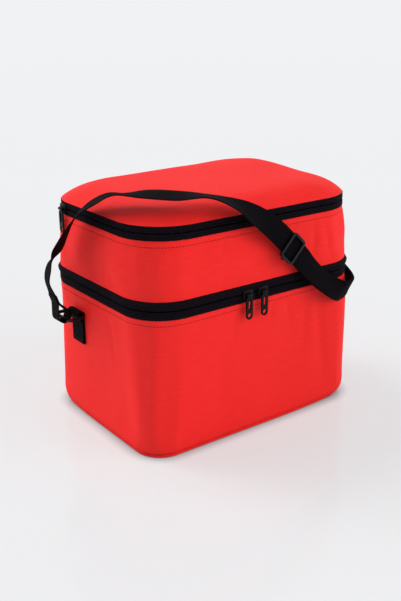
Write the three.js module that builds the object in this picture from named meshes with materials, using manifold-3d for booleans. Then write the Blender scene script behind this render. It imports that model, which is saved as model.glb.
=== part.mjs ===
// Two-compartment insulated carrier with a shoulder strap. Millimetres, +Z up, front towards -Y.
// The origin is the centre of the base on the surface that it stands on.
// The lower case carries an upper case on a fabric hinge at the back, closed by a zip with two
// sliders. The upper case carries a crowned lid, closed by a zip with one slider. The strap
// hangs on two rings in sewn tabs and passes through an adjuster on the front.
import * as THREE from 'three';
import { mergeVertices } from 'three/addons/utils/BufferGeometryUtils.js';
import Module from 'manifold-3d';

// Overall plan of the bag, at the middle zip
const bagWidth = 300;
const bagDepth = 220;
const baseCornerRadius = 34;
const middleCornerRadius = 48;
const topCornerRadius = 58;

// Heights of the levels, counted from the surface
const lowerCaseHeight = 165;
const upperCaseHeight = 79.5;
const lidCrown = 21;

// Layers of the insulated wall
const shellThickness = 1;
const foamThickness = 6;
const linerThickness = 0.8;
const seamGap = 0.3;
const boardThickness = 2;
const baseFabricThickness = 1;
const pipingRadius = 1.6;
const pipingLift = 0.7;
const baseTuck = 2;
const lowerBulge = 0.4;
const upperBulge = 1.5;
const quarterBulgeShare = 0.75;

// Zips: a band of tape each side of a groove, with the coil behind it
const middleBandBelow = 9.7;
const middleBandAbove = 10;
const topBandBelow = 7.5;
const topBandAbove = 7.3;
const zipGroove = 1.2;
const tapeThickness = 1;
const bindingBulge = 1.6;
const bindingDrop = 4.5;
const coilHeight = 1.9;
const coilDepth = 2.2;
const topBandInset = 2.5;
const zipEndInset = 2;
const stopLength = 4;

// Fabric hinges at the back
const hingeStripThickness = 1;
const hingeStripOverlap = 5;

// Zip sliders and their pulls
const sliderLength = 13;
const sliderHeight = 11;
const sliderPlate = 1.4;
const sliderNoseShare = 0.55;
const sliderShoulderShare = 0.3;
const sliderNeckLength = 5;
const sliderInnerPlate = 1.2;
const cheekThickness = 1.3;
const pinRadius = 0.8;
const pullEyeRadius = 1.9;
const pullEyeLength = 4.2;
const pullWidth = 9;
const pullLength = 27.5;
const pullThickness = 1.6;
const pullShoulder = 3;
const pullHoleRadius = 2.5;
const pullHoleMargin = 2.2;
const pullSlotWidth = 3;
const pullSlotLength = 8;
const pullSlotTop = 6;
const middleSliderGap = 21;
const middleSliderCentre = -14.5;
const topSliderBack = 60;
const cornerPlay = 1.2;

// Webbing, tabs, rings and adjuster
const webbingWidth = 25;
const webbingThickness = 1.4;
const ringBelowZip = 35.5;
const tabLoopHeight = 7.5;
const tabSewnLength = 26;
const ringBack = 33;
const ringWire = 2;
const ringReach = 18;
const ringCorner = 3.5;
const ringSideGap = 0.5;
const loopReach = 20;
const adjusterAlong = 22;
const adjusterBar = 2.6;
const adjusterRail = 2.7;
const adjusterSideGap = 0.3;
const adjusterCorner = 4;

// Counts that set how fine the round shapes are
const cornerSteps = 7;
const roundSides = 12;
const curveSteps = 5;
const wireSides = 8;
const wireCornerSteps = 4;
const routeStepsPerPoint = 2;

// The crown of the lid flattens towards the middle: a power, and the rings that it is drawn on
const crownPower = 6;
const crownShares = [1, 0.985, 0.96, 0.92, 0.86, 0.76, 0.6, 0.35];

// Middle line of the strap from the left ring to the right one, chosen by hand. Each row is a
// place in shares of the half width, the half depth and the height from the rings to the lid's
// top, then the way across the strap's width.
const strapRouteShares = [
  [-1.213, 0.3, 0.198, 0, 1, 0],
  [-1.237, 0.326, 0.31, 0.55, 0.83, 0],
  [-1.204, 0.298, 0.44, 0.71, 0.7, -0.05],
  [-1.17, 0.259, 0.538, 0.81, 0.59, -0.05],
  [-1.135, 0.198, 0.65, 0.79, 0.61, 0.06],
  [-1.109, 0.125, 0.748, 0.75, 0.63, 0.2],
  [-1.063, -0.036, 0.884, 0.77, 0.57, 0.28],
  [-0.996, -0.25, 0.987, 0.82, 0.52, 0.24],
  [-0.931, -0.422, 1.031, 0.85, 0.53, 0.07],
  [-0.824, -0.636, 1.047, 0.76, 0.64, 0.11],
  [-0.669, -0.848, 1.036, 0.61, 0.76, 0.2],
  [-0.503, -0.983, 1.013, 0.44, 0.87, 0.21],
  [-0.312, -1.07, 0.955, 0.4, 0.82, 0.41],
  [-0.182, -1.095, 0.878, 0.5, 0.56, 0.66],
  [-0.075, -1.096, 0.8, 0.6, 0.3, 0.74],
  [0.045, -1.096, 0.695, 0.68, 0.05, 0.73],
  [0.187, -1.096, 0.551, 0.69, 0, 0.72],
  [0.286, -1.096, 0.451, 0.7, 0.02, 0.71],
  [0.376, -1.096, 0.359, 0.68, 0.16, 0.71],
  [0.475, -1.098, 0.264, 0.62, 0.28, 0.73],
  [0.568, -1.102, 0.187, 0.52, 0.32, 0.79],
  [0.655, -1.1, 0.129, 0.46, 0.14, 0.88],
  [0.717, -1.093, 0.095, 0.54, -0.08, 0.84],
  [0.783, -1.064, 0.08, 0.6, -0.16, 0.78],
  [0.856, -1.024, 0.081, 0.42, -0.2, 0.88],
  [0.937, -0.924, 0.088, 0.11, -0.2, 0.97],
  [0.999, -0.771, 0.11, -0.04, -0.26, 0.96],
  [1.037, -0.591, 0.153, -0.14, -0.36, 0.92],
  [1.097, -0.227, 0.254, -0.1, -0.38, 0.92],
  [1.133, -0.036, 0.31, -0.1, -0.3, 0.95],
  [1.18, 0.127, 0.345, -0.05, 0, 1],
  [1.22, 0.236, 0.324, 0, 0.68, 0.73],
  [1.237, 0.286, 0.261, 0, 0.95, 0.3],
  [1.213, 0.3, 0.198, 0, 1, 0],
];
const adjusterRouteSteps = 16;

// Plan, levels and offsets worked out from the sizes above
const halfWidth = bagWidth / 2;
const halfDepth = bagDepth / 2;
const middleZip = lowerCaseHeight;
const topZip = lowerCaseHeight + upperCaseHeight;
const halfGroove = zipGroove / 2;
const foamOut = -shellThickness - seamGap;
const linerOut = foamOut - foamThickness - seamGap;
const roomOut = linerOut - linerThickness;
const zipBackGap = halfWidth - topCornerRadius - zipEndInset;
const ringHeight = middleZip - ringBelowZip;
const lidTop = topZip + topBandAbove + seamGap + lidCrown;

const red = '#e5302c';
const black = '#141417';
const silver = '#b9bcc0';
const paleFoam = '#dfe2e3';

const wasm = await Module();
wasm.setup();

const bag = new THREE.Group();

const up = new THREE.Vector3(0, 0, 1);
const forwards = new THREE.Vector3(0, -1, 0);
const backwards = new THREE.Vector3(0, 1, 0);
const leftwards = new THREE.Vector3(-1, 0, 0);
const rightwards = new THREE.Vector3(1, 0, 0);

function material(color, roughness, metalness) {
  return new THREE.MeshStandardMaterial({ color, roughness, metalness });
}

const finishes = {
  fabric: () => material(red, 0.75, 0),
  tape: () => material(black, 0.8, 0),
  webbing: () => material(black, 0.85, 0),
  plastic: () => material(black, 0.4, 0),
  foam: () => material(paleFoam, 0.9, 0),
  liner: () => material(silver, 0.35, 0.3),
  board: () => material(black, 0.6, 0),
};

function add(name, geometry, finish) {
  const mesh = new THREE.Mesh(geometry, finishes[finish]());
  mesh.name = name;
  bag.add(mesh);
  return mesh;
}

// Corner radius at a height, between the base, the middle zip and the top
function radiusAt(z) {
  if (z < middleZip) {
    return THREE.MathUtils.lerp(baseCornerRadius, middleCornerRadius, z / middleZip);
  }
  const share = Math.min((z - middleZip) / upperCaseHeight, 1);
  return THREE.MathUtils.lerp(middleCornerRadius, topCornerRadius, share);
}

// Points of the plan at a height, moved out of the wall by out, anticlockwise from the back
function planAt(out, z) {
  const radius = radiusAt(z) + out;
  const across = halfWidth + out - radius;
  const along = halfDepth + out - radius;
  const quarter = Math.PI / 2;
  const points = [];
  const corners = [[-across, along, 1], [-across, -along, 2], [across, -along, 3], [across, along, 0]];
  for (const [x, y, turn] of corners) {
    for (let step = 0; step <= cornerSteps; step += 1) {
      const angle = quarter * (turn + step / cornerSteps);
      points.push(new THREE.Vector3(x + radius * Math.cos(angle), y + radius * Math.sin(angle), z));
    }
  }
  return points;
}

// The part of the plan that a zip runs along: all of it but a gap in the middle of the back
function zipPlanAt(out, z) {
  const back = halfDepth + out;
  const start = new THREE.Vector3(-zipBackGap, back, z);
  const end = new THREE.Vector3(zipBackGap, back, z);
  return [start, ...planAt(out, z), end];
}

function outward(geometry) {
  const place = geometry.getAttribute('position');
  const index = geometry.getIndex();
  const [a, b, c] = [new THREE.Vector3(), new THREE.Vector3(), new THREE.Vector3()];
  let volume = 0;
  for (let i = 0; i < index.count; i += 3) {
    a.fromBufferAttribute(place, index.getX(i));
    b.fromBufferAttribute(place, index.getX(i + 1));
    c.fromBufferAttribute(place, index.getX(i + 2));
    volume += a.dot(b.cross(c));
  }
  if (volume < 0) {
    index.array.reverse();
  }
  return geometry;
}

// One closed skin through rows of equally many points. Each row is a loop. With caps, the
// triangles of a row, the first and last rows are closed by them. Without, they are joined.
// The quads of a turned side are split along their other diagonal.
function skin(rows, caps, turnedSide = -1) {
  const count = rows[0].length;
  const positions = rows.flatMap((row) => row.flatMap((point) => [point.x, point.y, point.z]));
  const indices = [];
  const spans = caps ? rows.length - 1 : rows.length;
  for (let r = 0; r < spans; r += 1) {
    const next = (r + 1) % rows.length;
    for (let i = 0; i < count; i += 1) {
      const j = (i + 1) % count;
      const [a, b, c, d] = [r * count + i, r * count + j, next * count + j, next * count + i];
      indices.push(...(i === turnedSide ? [a, b, d, b, c, d] : [a, b, c, a, c, d]));
    }
  }
  if (caps) {
    const last = (rows.length - 1) * count;
    for (const [a, b, c] of caps) {
      indices.push(c, b, a);
      indices.push(last + a, last + b, last + c);
    }
  }
  const geometry = new THREE.BufferGeometry();
  geometry.setAttribute('position', new THREE.Float32BufferAttribute(positions, 3));
  geometry.setIndex(indices);
  return outward(geometry);
}

function capOf(points) {
  return THREE.ShapeUtils.triangulateShape(points, []);
}

// A closed outline of [out, height] carried all the way round the bag
function band(profile) {
  const loops = profile.map(([out, z]) => planAt(out, z));
  return skin(loops[0].map((_, i) => loops.map((loop) => loop[i])), null);
}

// The same along a zip, which stops short of the middle of the back
function zipRun(profile) {
  const loops = profile.map(([out, z]) => zipPlanAt(out, z));
  const cap = capOf(profile.map(([out, z]) => new THREE.Vector2(out, z)));
  return skin(loops[0].map((_, i) => loops.map((loop) => loop[i])), cap);
}

// Flat slab or tapered block through levels of [out, height]
function slab(levels) {
  const rows = levels.map(([out, z]) => planAt(out, z));
  return skin(rows, capOf(rows[0]));
}

// Crowned sheet: its rim lies on a plane and its middle rises above it
function crownedSheet(out, plane, rise, thickness) {
  const surface = (edge, height) => crownShares.map((share) => {
    const loop = planAt(edge, plane);
    return loop.map((point) => new THREE.Vector3(
      point.x * share,
      point.y * share,
      plane + height * (1 - share ** crownPower),
    ));
  });
  const inner = surface(out - thickness, rise - thickness).reverse();
  const rows = [...inner, ...surface(out, rise)];
  return skin(rows, capOf(rows[0]));
}

// Outer line of a wall panel, as [out, height], fuller in the middle than at its seams
function wallLine(bottom, top, bulge, topOut) {
  const middle = (bottom + top) / 2;
  return [
    [0, bottom],
    [bulge * quarterBulgeShare, (bottom + middle) / 2],
    [bulge, middle],
    [topOut + bulge * quarterBulgeShare, (middle + top) / 2],
    [topOut, top],
  ];
}

function wallPanel(line) {
  const inner = line.map(([out, z]) => [out - shellThickness, z]).reverse();
  return band([...line, ...inner]);
}

// How far out a wall line lies at a height
function outAt(line, z) {
  const upper = line.findIndex(([, height]) => height >= z);
  const [lowOut, low] = line[upper - 1];
  const [highOut, high] = line[upper];
  return THREE.MathUtils.mapLinear(z, low, high, lowOut, highOut);
}

function manifoldOf(geometry) {
  const bare = geometry.clone();
  bare.deleteAttribute('normal');
  bare.deleteAttribute('uv');
  const merged = mergeVertices(bare);
  return new wasm.Manifold(new wasm.Mesh({
    numProp: 3,
    vertProperties: new Float32Array(merged.getAttribute('position').array),
    triVerts: new Uint32Array(merged.getIndex().array),
  }));
}

function geometryOf(solid) {
  const mesh = solid.getMesh();
  const geometry = new THREE.BufferGeometry();
  geometry.setAttribute('position', new THREE.BufferAttribute(mesh.vertProperties, mesh.numProp));
  geometry.setIndex(new THREE.BufferAttribute(mesh.triVerts, 1));
  return geometry;
}

function joined(first, ...others) {
  return geometryOf(others.reduce((whole, piece) => whole.add(manifoldOf(piece)), manifoldOf(first)));
}

function cut(first, ...others) {
  return geometryOf(others.reduce((whole, piece) => whole.subtract(manifoldOf(piece)), manifoldOf(first)));
}

function extruded(shape, depth) {
  return new THREE.ExtrudeGeometry(shape, { depth, bevelEnabled: false, curveSegments: curveSteps });
}

function roundedRectangle(width, height, radius) {
  const shape = new THREE.Shape();
  const x = width / 2 - radius;
  const y = height / 2 - radius;
  const quarter = Math.PI / 2;
  shape.absarc(x, y, radius, 0, quarter, false);
  shape.absarc(-x, y, radius, quarter, 2 * quarter, false);
  shape.absarc(-x, -y, radius, 2 * quarter, 3 * quarter, false);
  shape.absarc(x, -y, radius, 3 * quarter, 4 * quarter, false);
  shape.closePath();
  return shape;
}

// Rod along X, centred on the origin
function rod(radius, length) {
  const geometry = new THREE.CylinderGeometry(radius, radius, length, roundSides);
  geometry.rotateZ(Math.PI / 2);
  return geometry;
}

// Solid of an outline in [out, height], which faces outwards along a direction of the plan
function profiled(shape, width, outwards) {
  const solid = extruded(shape, width);
  solid.translate(0, 0, -width / 2);
  const across = outwards.clone().cross(up);
  solid.applyMatrix4(new THREE.Matrix4().makeBasis(outwards, up, across));
  return solid;
}

function shapeOf(points) {
  return new THREE.Shape(points.map(([x, y]) => new THREE.Vector2(x, y)));
}

// Edge tape of a case: a strip up to the groove, with a flange in over the foam and liner
function rimTape(out, shellTop, zip) {
  const edge = zip - halfGroove;
  const inside = out - tapeThickness;
  const flangeTop = edge - coilHeight - seamGap;
  const flangeBottom = flangeTop - tapeThickness;
  const flangeEnd = out + roomOut;
  return band([
    [out, shellTop + seamGap],
    [out, edge],
    [inside, edge],
    [inside, flangeTop],
    [flangeEnd, flangeTop],
    [flangeEnd, flangeBottom],
    [inside, flangeBottom],
    [inside, shellTop + seamGap],
  ]);
}

// Half of a zip's coil, behind its tape
function coil(out, bottom) {
  const face = out - tapeThickness - seamGap;
  return zipRun([
    [face, bottom],
    [face, bottom + coilHeight],
    [face - coilDepth, bottom + coilHeight],
    [face - coilDepth, bottom],
  ]);
}

// Clip that closes the end of a coil at the back, on the side given by -1 or 1
function coilStop(side, out, bottom) {
  const stop = new THREE.BoxGeometry(stopLength, coilDepth, coilHeight);
  const y = halfDepth + out - tapeThickness - seamGap - coilDepth / 2;
  stop.translate(side * (zipBackGap - seamGap - stopLength / 2), y, bottom + coilHeight / 2);
  return stop;
}

// Fabric strip across a groove at the back, along an inner line of [out, height]
function hingeStrip(line) {
  const outer = line.map(([out, z]) => [out + hingeStripThickness, z]).reverse();
  const strip = profiled(shapeOf([...line, ...outer]), 2 * (zipBackGap - stopLength), backwards);
  strip.translate(0, halfDepth, 0);
  return strip;
}

// Foam of a case's four walls, drawn in by topOut from the knee up
function wallFoam(bottom, knee, top, topOut) {
  const outer = [[foamOut, bottom], [foamOut + topOut, knee], [foamOut + topOut, top]];
  const inner = outer.map(([out, z]) => [out - foamThickness, z]).reverse();
  return band([...outer, ...inner]);
}

// Liner of a case: a tub with a floor and an open top
function caseLiner(floor, knee, top, topOut) {
  const inner = linerOut - linerThickness;
  const rows = [
    planAt(inner, floor + linerThickness),
    planAt(inner + topOut, knee),
    planAt(inner + topOut, top),
    planAt(linerOut + topOut, top),
    planAt(linerOut + topOut, knee),
    planAt(linerOut, floor),
  ];
  return skin(rows, capOf(rows[0]));
}

function roundBead(radius, out, height) {
  const profile = [];
  for (let side = 0; side < wireSides; side += 1) {
    const angle = (2 * Math.PI * side) / wireSides;
    profile.push([out + radius * Math.cos(angle), height + radius * Math.sin(angle)]);
  }
  return band(profile);
}

// Lower case: base, walls, liner and the lower half of the middle zip
const pipingHeight = pipingLift + pipingRadius;
const baseOut = -baseTuck - pipingRadius - seamGap;
const boardBottom = baseFabricThickness + seamGap;
const baseFoamBottom = boardBottom + boardThickness + seamGap;
const baseFoamTop = baseFoamBottom + foamThickness;
const lowerLiningBottom = baseFoamTop + seamGap;
const middleLowerEdge = middleZip - halfGroove;
const middleLowerCoil = middleLowerEdge - coilHeight;
const lowerShellTop = middleZip - middleBandBelow;
const lowerWall = [
  [-baseTuck, pipingHeight + pipingRadius + seamGap],
  ...wallLine(baseFoamTop, lowerShellTop, lowerBulge, 0),
];
const lowerFoamTop = middleLowerCoil - seamGap - tapeThickness - seamGap;

add('base_cover', slab([[baseOut, 0], [baseOut, baseFabricThickness]]), 'fabric');
add('base_piping', roundBead(pipingRadius, -baseTuck, pipingHeight), 'fabric');
add('base_board', slab([[baseOut, boardBottom], [baseOut, boardBottom + boardThickness]]), 'board');
add('base_foam', slab([[baseOut, baseFoamBottom], [baseOut, baseFoamTop]]), 'foam');
add('lower_shell', wallPanel(lowerWall), 'fabric');
add('lower_foam', wallFoam(lowerLiningBottom, lowerShellTop, lowerFoamTop, 0), 'foam');
add('lower_liner', caseLiner(lowerLiningBottom, lowerShellTop, lowerFoamTop, 0), 'liner');
add('lower_zip_tape', rimTape(0, lowerShellTop, middleZip), 'tape');
add('middle_coil_lower', coil(0, middleLowerCoil), 'plastic');
add('middle_stop_left', coilStop(-1, 0, middleLowerCoil), 'plastic');
add('middle_stop_right', coilStop(1, 0, middleLowerCoil), 'plastic');

// Upper case: bound lower edge, insulated divider, walls, liner and half of the top zip
const middleUpperEdge = middleZip + halfGroove;
const bindingTop = middleZip + middleBandAbove;
const bindingFull = middleUpperEdge + bindingDrop;
const bindingClose = bindingTop - bindingDrop / 2;
const dividerBottom = middleUpperEdge + coilHeight + seamGap;
const dividerFoamBottom = dividerBottom + baseFabricThickness + seamGap;
const dividerFoamTop = dividerFoamBottom + foamThickness;
const upperLiningBottom = Math.max(dividerFoamTop, bindingTop) + seamGap;
const topLowerEdge = topZip - halfGroove;
const topLowerCoil = topLowerEdge - coilHeight;
const upperShellTop = topZip - topBandBelow;
const upperWall = wallLine(bindingTop + seamGap, upperShellTop, upperBulge, -topBandInset);
const upperFoamTop = topLowerCoil - seamGap - tapeThickness - seamGap;

const middleStripLine = [
  [seamGap, middleLowerEdge - hingeStripOverlap],
  [seamGap, middleZip],
  [bindingBulge + seamGap, bindingFull],
  [bindingBulge + seamGap, bindingClose],
];
const bindingProfile = [
  [0, middleUpperEdge],
  [bindingBulge, bindingFull],
  [bindingBulge, bindingClose],
  [0, bindingTop],
  [-tapeThickness, bindingTop],
  [-tapeThickness, middleUpperEdge],
];

add('middle_hinge_strip', hingeStrip(middleStripLine), 'tape');
add('upper_zip_tape', band(bindingProfile), 'tape');
add('middle_coil_upper', coil(0, middleUpperEdge), 'plastic');
add('divider_cover', slab([[foamOut, dividerBottom], [foamOut, dividerBottom + baseFabricThickness]]), 'liner');
add('divider_foam', slab([[foamOut, dividerFoamBottom], [foamOut, dividerFoamTop]]), 'foam');
add('upper_shell', wallPanel(upperWall), 'fabric');
add('upper_foam', wallFoam(upperLiningBottom, upperShellTop, upperFoamTop, -topBandInset), 'foam');
add('upper_liner', caseLiner(upperLiningBottom, upperShellTop, upperFoamTop, -topBandInset), 'liner');
add('upper_rim_tape', rimTape(-topBandInset, upperShellTop, topZip), 'tape');
add('top_coil_lower', coil(-topBandInset, topLowerCoil), 'plastic');
add('top_stop_left', coilStop(-1, -topBandInset, topLowerCoil), 'plastic');
add('top_stop_right', coilStop(1, -topBandInset, topLowerCoil), 'plastic');

// Lid: the other half of the top zip, crowned cover, foam and liner
const topUpperEdge = topZip + halfGroove;
const lidTapeTop = topZip + topBandAbove;
const topStripOut = seamGap - topBandInset;
const topStripLine = [
  [topStripOut, topLowerEdge - hingeStripOverlap],
  [topStripOut, topUpperEdge + hingeStripOverlap],
];
const lidTapeInside = -topBandInset - tapeThickness;
const lidFlangeEnd = roomOut - topBandInset;
const lidTapeProfile = [
  [-topBandInset, topUpperEdge],
  [-topBandInset, lidTapeTop],
  [lidFlangeEnd, lidTapeTop],
  [lidFlangeEnd, lidTapeTop - tapeThickness],
  [lidTapeInside, lidTapeTop - tapeThickness],
  [lidTapeInside, topUpperEdge],
];

function lidLayer(depth, thickness) {
  return crownedSheet(depth - topBandInset, lidTapeTop + seamGap, lidCrown + depth, thickness);
}

add('top_hinge_strip', hingeStrip(topStripLine), 'tape');
add('lid_zip_tape', band(lidTapeProfile), 'tape');
add('top_coil_upper', coil(-topBandInset, topUpperEdge), 'plastic');
add('lid_cover', lidLayer(0, shellThickness), 'fabric');
add('lid_foam', lidLayer(foamOut, foamThickness), 'foam');
add('lid_liner', lidLayer(linerOut, linerThickness), 'liner');

// Zip sliders, drawn for a zip along X whose tape faces the front at y = 0, groove at z = 0
const cheekInside = pullEyeLength / 2 + seamGap;
const cheekOutside = cheekInside + cheekThickness;
const coilBack = -tapeThickness - seamGap - coilDepth;
const neckHalf = halfGroove - seamGap;

function plateOutline() {
  const nose = sliderLength / 2;
  const half = sliderHeight / 2;
  const noseHalf = half * sliderNoseShare;
  const shoulder = nose - sliderLength * sliderShoulderShare;
  const shape = new THREE.Shape();
  shape.moveTo(-nose, -noseHalf);
  shape.quadraticCurveTo(-nose, -half, -shoulder, -half);
  shape.lineTo(shoulder, -half);
  shape.quadraticCurveTo(nose, -half, nose, -noseHalf);
  shape.lineTo(nose, noseHalf);
  shape.quadraticCurveTo(nose, half, shoulder, half);
  shape.lineTo(-shoulder, half);
  shape.quadraticCurveTo(-nose, half, -nose, noseHalf);
  shape.closePath();
  return shape;
}

// Extrudes an outline drawn along the wall and up, between two distances out of the tape
function facePlate(shape, near, far) {
  const plate = extruded(shape, far - near);
  plate.applyMatrix4(new THREE.Matrix4().makeBasis(rightwards, up, forwards));
  plate.translate(0, -near, 0);
  return plate;
}

function faceBlock(width, bottom, top, near, far) {
  const block = new THREE.BoxGeometry(width, far - near, top - bottom);
  block.translate(0, -(near + far) / 2, (bottom + top) / 2);
  return block;
}

function cheek(side, root, pinOut) {
  const shape = new THREE.Shape();
  shape.moveTo(root, -pullEyeRadius);
  shape.lineTo(pinOut, -pullEyeRadius);
  shape.absarc(pinOut, 0, pullEyeRadius, -Math.PI / 2, Math.PI / 2, false);
  shape.lineTo(root, pullEyeRadius);
  shape.closePath();
  const solid = profiled(shape, cheekThickness, forwards);
  solid.translate((side * (cheekInside + cheekOutside)) / 2, 0, 0);
  return solid;
}

// How far out of the tape the pin of a slider lies, whose plate stands off the tape
function pinOutOf(standOff) {
  return standOff + sliderPlate + seamGap + pullEyeRadius;
}

// The plate outside, a foot on the lower tape, a neck in the groove, and a plate behind the coil
function slider(standOff, play) {
  const pinOut = pinOutOf(standOff);
  const plateFace = standOff + sliderPlate;
  const innerBack = coilBack - seamGap - play - sliderInnerPlate;
  const pin = rod(pinRadius, 2 * cheekOutside);
  pin.translate(0, -pinOut, 0);
  const parts = [
    faceBlock(sliderNeckLength, -neckHalf, neckHalf, innerBack, plateFace),
    faceBlock(sliderNeckLength, -coilHeight - halfGroove, neckHalf, innerBack, innerBack + sliderInnerPlate),
    cheek(-1, standOff, pinOut),
    cheek(1, standOff, pinOut),
    pin,
  ];
  if (standOff > seamGap) {
    const footHalf = sliderHeight / 2 - pinRadius;
    parts.push(faceBlock(sliderLength * sliderShoulderShare, -footHalf, -halfGroove, seamGap, plateFace));
  }
  return joined(facePlate(plateOutline(), standOff, plateFace), ...parts);
}

// Pull that hangs from the pin: a barrel on it, then a plate with a slot and a round hole
function pull() {
  const eyeHalf = pullEyeLength / 2;
  const half = pullWidth / 2;
  const endHeight = -pullLength + half;
  const shoulderTop = -pullEyeRadius - seamGap;
  const shape = new THREE.Shape();
  shape.moveTo(eyeHalf, 0);
  shape.lineTo(-eyeHalf, 0);
  shape.lineTo(-eyeHalf, shoulderTop);
  shape.quadraticCurveTo(-half, shoulderTop, -half, shoulderTop - pullShoulder);
  shape.lineTo(-half, endHeight);
  shape.absarc(0, endHeight, half, Math.PI, 2 * Math.PI, false);
  shape.lineTo(half, shoulderTop - pullShoulder);
  shape.quadraticCurveTo(half, shoulderTop, eyeHalf, shoulderTop);
  shape.closePath();
  const hole = new THREE.Path();
  hole.absarc(0, -pullLength + pullHoleMargin + pullHoleRadius, pullHoleRadius, 0, 2 * Math.PI, true);
  const slot = new THREE.Path();
  const slotHalf = pullSlotWidth / 2;
  slot.absarc(0, -pullSlotTop, slotHalf, 0, Math.PI, false);
  slot.absarc(0, -pullSlotTop - pullSlotLength, slotHalf, Math.PI, 2 * Math.PI, false);
  slot.closePath();
  shape.holes.push(hole, slot);
  const plate = facePlate(shape, -pullThickness / 2, pullThickness / 2);
  const whole = joined(plate, rod(pullEyeRadius, pullEyeLength));
  return cut(whole, rod(pinRadius + seamGap, pullWidth));
}

function placeSlider(name, pullName, standOff, play, place, turn) {
  const carrier = new THREE.Group();
  carrier.position.copy(place);
  carrier.rotation.z = turn;
  const body = add(name, slider(standOff, play), 'plastic');
  const hanging = add(pullName, pull(), 'plastic');
  hanging.position.y = -pinOutOf(standOff);
  carrier.add(body, hanging);
  bag.add(carrier);
}

const middleStandOff = bindingBulge + seamGap;
for (const [side, word] of [[-1, 'left'], [1, 'right']]) {
  const x = middleSliderCentre + (side * middleSliderGap) / 2;
  const place = new THREE.Vector3(x, -halfDepth, middleZip);
  placeSlider(`middle_slider_${word}`, `middle_pull_${word}`, middleStandOff, 0, place, 0);
}
const topPlace = new THREE.Vector3(topBandInset - halfWidth, topSliderBack, topZip);
placeSlider('top_slider', 'top_pull', seamGap, cornerPlay, topPlace, -Math.PI / 2);

// Rings and the webbing that is sewn round their bars. In [out, height] at a side wall.
const innerLoop = ringWire + seamGap;
const outerLoop = innerLoop + webbingThickness;
const ringOut = outAt(lowerWall, ringHeight) + seamGap + outerLoop;
const strapRoute = strapRouteShares.map(([x, y, z, ...way]) => {
  const height = THREE.MathUtils.lerp(ringHeight, lidTop, z);
  return { place: new THREE.Vector3(x * halfWidth, y * halfDepth, height), way: new THREE.Vector3(...way) };
});
const strapStart = new THREE.Vector2(-strapRoute[0].place.x - halfWidth, strapRoute[0].place.z);

// Direction from a bar to where a straight leg from a point touches a circle round the bar
function touchAngle(bar, point, radius, turn) {
  const leg = point.clone().sub(bar);
  return leg.angle() + turn * Math.acos(radius / leg.length());
}

// Webbing sewn double from an end to an apex, which opens there into a loop round a bar
function webbingLoop(bar, apex, end) {
  const run = apex.clone().sub(end).normalize();
  const side = new THREE.Vector2(run.y, -run.x).multiplyScalar(webbingThickness);
  const [firstApex, lastApex] = [apex.clone().add(side), apex.clone().sub(side)];
  const [firstEnd, lastEnd] = [end.clone().add(side), end.clone().sub(side)];
  const circle = 2 * Math.PI;
  const shape = new THREE.Shape();
  shape.moveTo(firstEnd.x, firstEnd.y);
  shape.lineTo(firstApex.x, firstApex.y);
  const first = touchAngle(bar, firstApex, outerLoop, 1) - circle;
  shape.absarc(bar.x, bar.y, outerLoop, first, touchAngle(bar, lastApex, outerLoop, -1), false);
  shape.lineTo(lastApex.x, lastApex.y);
  shape.lineTo(lastEnd.x, lastEnd.y);
  shape.closePath();
  const hole = new THREE.Path();
  const from = touchAngle(bar, apex, innerLoop, 1) - circle;
  hole.absarc(bar.x, bar.y, innerLoop, from, touchAngle(bar, apex, innerLoop, -1), false);
  hole.lineTo(apex.x, apex.y);
  hole.closePath();
  shape.holes.push(hole);
  return shape;
}

function tabShape() {
  const sewnTop = ringHeight - tabLoopHeight;
  const tabBottom = sewnTop - tabSewnLength;
  const middle = seamGap + webbingThickness;
  const apex = new THREE.Vector2(outAt(lowerWall, sewnTop) + middle, sewnTop);
  const end = new THREE.Vector2(outAt(lowerWall, tabBottom) + middle, tabBottom);
  return webbingLoop(new THREE.Vector2(ringOut, ringHeight), apex, end);
}

function strapEndShape() {
  const bar = new THREE.Vector2(ringOut + ringReach, ringHeight);
  const way = strapStart.clone().sub(bar);
  const whole = way.length();
  way.normalize();
  const apex = bar.clone().addScaledVector(way, loopReach);
  const end = bar.clone().addScaledVector(way, whole - seamGap);
  return webbingLoop(bar, apex, end);
}

// Rectangular ring of round wire, flat in X and Y, with its long bars along Y
function wireRing() {
  const half = webbingWidth / 2 + ringSideGap;
  const reach = ringReach / 2 - ringCorner;
  const corners = [[reach, half, 0], [-reach, half, 1], [-reach, -half, 2], [reach, -half, 3]];
  const rows = [];
  for (const [x, y, turn] of corners) {
    for (let step = 0; step <= wireCornerSteps; step += 1) {
      const angle = (Math.PI / 2) * (turn + step / wireCornerSteps);
      const radial = new THREE.Vector3(Math.cos(angle), Math.sin(angle), 0);
      const middle = new THREE.Vector3(x, y, 0).addScaledVector(radial, ringCorner);
      const row = [];
      for (let side = 0; side < wireSides; side += 1) {
        const round = (2 * Math.PI * (side + 1 / 2)) / wireSides;
        const point = middle.clone().addScaledVector(radial, ringWire * Math.cos(round));
        row.push(point.addScaledVector(up, ringWire * Math.sin(round)));
      }
      rows.push(row);
    }
  }
  return skin(rows, null);
}

for (const [outwards, word] of [[leftwards, 'left'], [rightwards, 'right']]) {
  const wall = outwards.clone().multiplyScalar(halfWidth);
  wall.y = ringBack;
  const tab = add(`${word}_tab`, profiled(tabShape(), webbingWidth, outwards), 'webbing');
  tab.position.copy(wall);
  const ring = add(`${word}_ring`, wireRing(), 'plastic');
  ring.position.copy(wall).addScaledVector(outwards, ringOut + ringReach / 2);
  ring.position.z = ringHeight;
  const end = add(`${word}_strap_end`, profiled(strapEndShape(), webbingWidth, outwards), 'webbing');
  end.position.copy(wall);
}

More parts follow.
